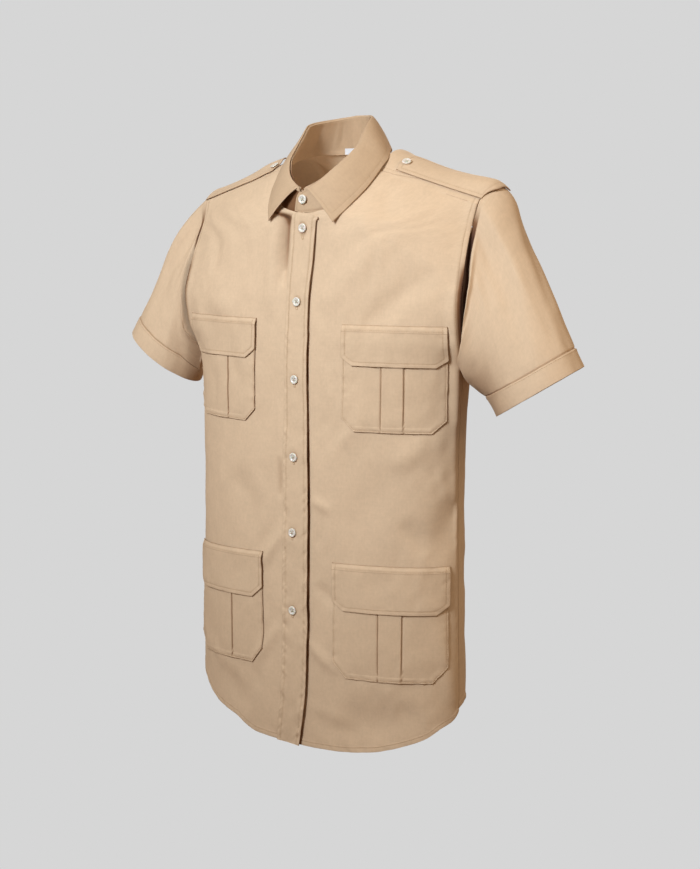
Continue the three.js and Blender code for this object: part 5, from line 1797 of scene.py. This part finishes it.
def add_buttonhole(name, d, h):
    """A corded oval round the place of a slit, on the placket."""
    half, count = BUTTONHOLE["half"], BUTTONHOLE["points"]
    turns = np.linspace(0, 2 * np.pi, count + 1)[:-1]
    x = half * np.cos(turns)
    y = half * np.sin(turns) + (BUTTONHOLE["long"] / 2 - half) * np.sign(np.sin(turns))
    points = []
    for wide, lift in CORD:
        u, v = placket_share(d + x * (1 + wide / half), h + y + wide * np.sin(turns))
        points.append(placket_surface(u, v) + normals_of(placket_surface, u, v, 0.05, 0.003) * lift)
    made = make_object(name, np.concatenate(points), tube_faces(len(CORD), count), thread_finish, sharp=80)


for i, (d, h) in enumerate(PLACKET_BUTTONS, 2):
    add_buttonhole(f"buttonhole_{i}", d, h - BUTTONHOLE["below"])

for group in stitch_store:
    make_stitches(group)

# Light, floor and camera
STUDIO = linear(214, 214, 214)
ROOM_LIGHT = (0.4, 0.345, 0.285, 1)
GROUND_LIGHT = (0.16, 0.09, 0.05, 1)


def backdrop(tree, kind, end, light):
    """The pale studio that the camera sees, with its own calmer light on the shirt."""
    nodes = tree.nodes
    for old in [n for n in nodes if n.type != end]:
        nodes.remove(old)
    out = next(n for n in nodes if n.type == end)
    path, mix = nodes.new("ShaderNodeLightPath"), nodes.new("ShaderNodeMixShader")
    tree.links.new(path.outputs["Is Camera Ray"], mix.inputs[0])
    for place, colour in ((1, light), (2, STUDIO)):
        shade = nodes.new(kind)
        shade.inputs["Color"].default_value = colour
        tree.links.new(shade.outputs[0], mix.inputs[place])
    tree.links.new(mix.outputs[0], out.inputs["Surface"])


world = bpy.data.worlds.new("studio")
bpy.context.scene.world = world
world.use_nodes = True
backdrop(world.node_tree, "ShaderNodeBackground", "OUTPUT_WORLD", ROOM_LIGHT)

FLOOR_REACH, FLOOR_LEVEL = 30.0, -1.6
floor_sides = [(-1, -1), (1, -1), (1, 1), (-1, 1)]
floor_corners = [(x * FLOOR_REACH, y * FLOOR_REACH, FLOOR_LEVEL) for x, y in floor_sides]
floor = plain_object("studio_floor", floor_corners, [(0, 1, 2, 3)])
floor_finish = bpy.data.materials.new("studio_paper")
floor_finish.use_nodes = True
backdrop(floor_finish.node_tree, "ShaderNodeEmission", "OUTPUT_MATERIAL", GROUND_LIGHT)
floor.data.materials.append(floor_finish)

# The camera looks at the target from this far round to the wearer's left of straight in front
VIEW_TURN = math.radians(35)
CAMERA_AT = (1.1608, -1.6178, -0.0373)
LENS = 62.97
TARGET = Vector((0, 0.04, -0.376))
RIGHT = Vector((math.cos(VIEW_TURN), math.sin(VIEW_TURN), 0))
TOWARDS = Vector((math.sin(VIEW_TURN), -math.cos(VIEW_TURN), 0))
CHEST = Vector((0.03, -0.02, -0.16))
NAPE = Vector((0, 0.075, -0.03))
KEY_CONE = 52


def add_light(kind, name, right, towards, up, size, watts, colour, aim=TARGET):
    """A lamp at a place counted from the target: to the camera's right, towards it and up, in metres."""
    data = bpy.data.lights.new(name, kind)
    if kind == "AREA":
        data.shape = "DISK"
        data.size = size
    else:
        data.shadow_soft_size = size / 2
        data.spot_size = math.radians(KEY_CONE)
        data.spot_blend = 1.0
    data.energy = watts
    data.color = colour
    light = bpy.data.objects.new(name, data)
    light.location = TARGET + RIGHT * right + TOWARDS * towards + Vector((0, 0, up))
    light.rotation_euler = (aim - light.location).to_track_quat("-Z", "Y").to_euler()
    bpy.context.scene.collection.objects.link(light)


add_light("SPOT", "key", -1.1, 1.5, 1.14, 0.7, 186, (0.86, 0.975, 1.08), CHEST)
add_light("AREA", "side", 1.5, 0.8, 1.3, 1.0, 8.5, (1, 0.78, 0.5))
add_light("AREA", "behind", 0.4, -1.7, 0.9, 1.2, 12, (1, 0.97, 0.93))
add_light("AREA", "neck", 0.0, 0.06, 0.2, 0.1, 0.09, (1, 0.9, 0.74), NAPE)

camera_data = bpy.data.cameras.new("camera")
camera_data.sensor_width = 36
camera_data.lens = LENS
camera_data.clip_end = 100
camera = bpy.data.objects.new("camera", camera_data)
camera.location = CAMERA_AT
camera.rotation_euler = (TARGET - camera.location).to_track_quat("-Z", "Y").to_euler()
bpy.context.scene.collection.objects.link(camera)
bpy.context.scene.camera = camera
bpy.context.scene.view_settings.view_transform = "Standard"
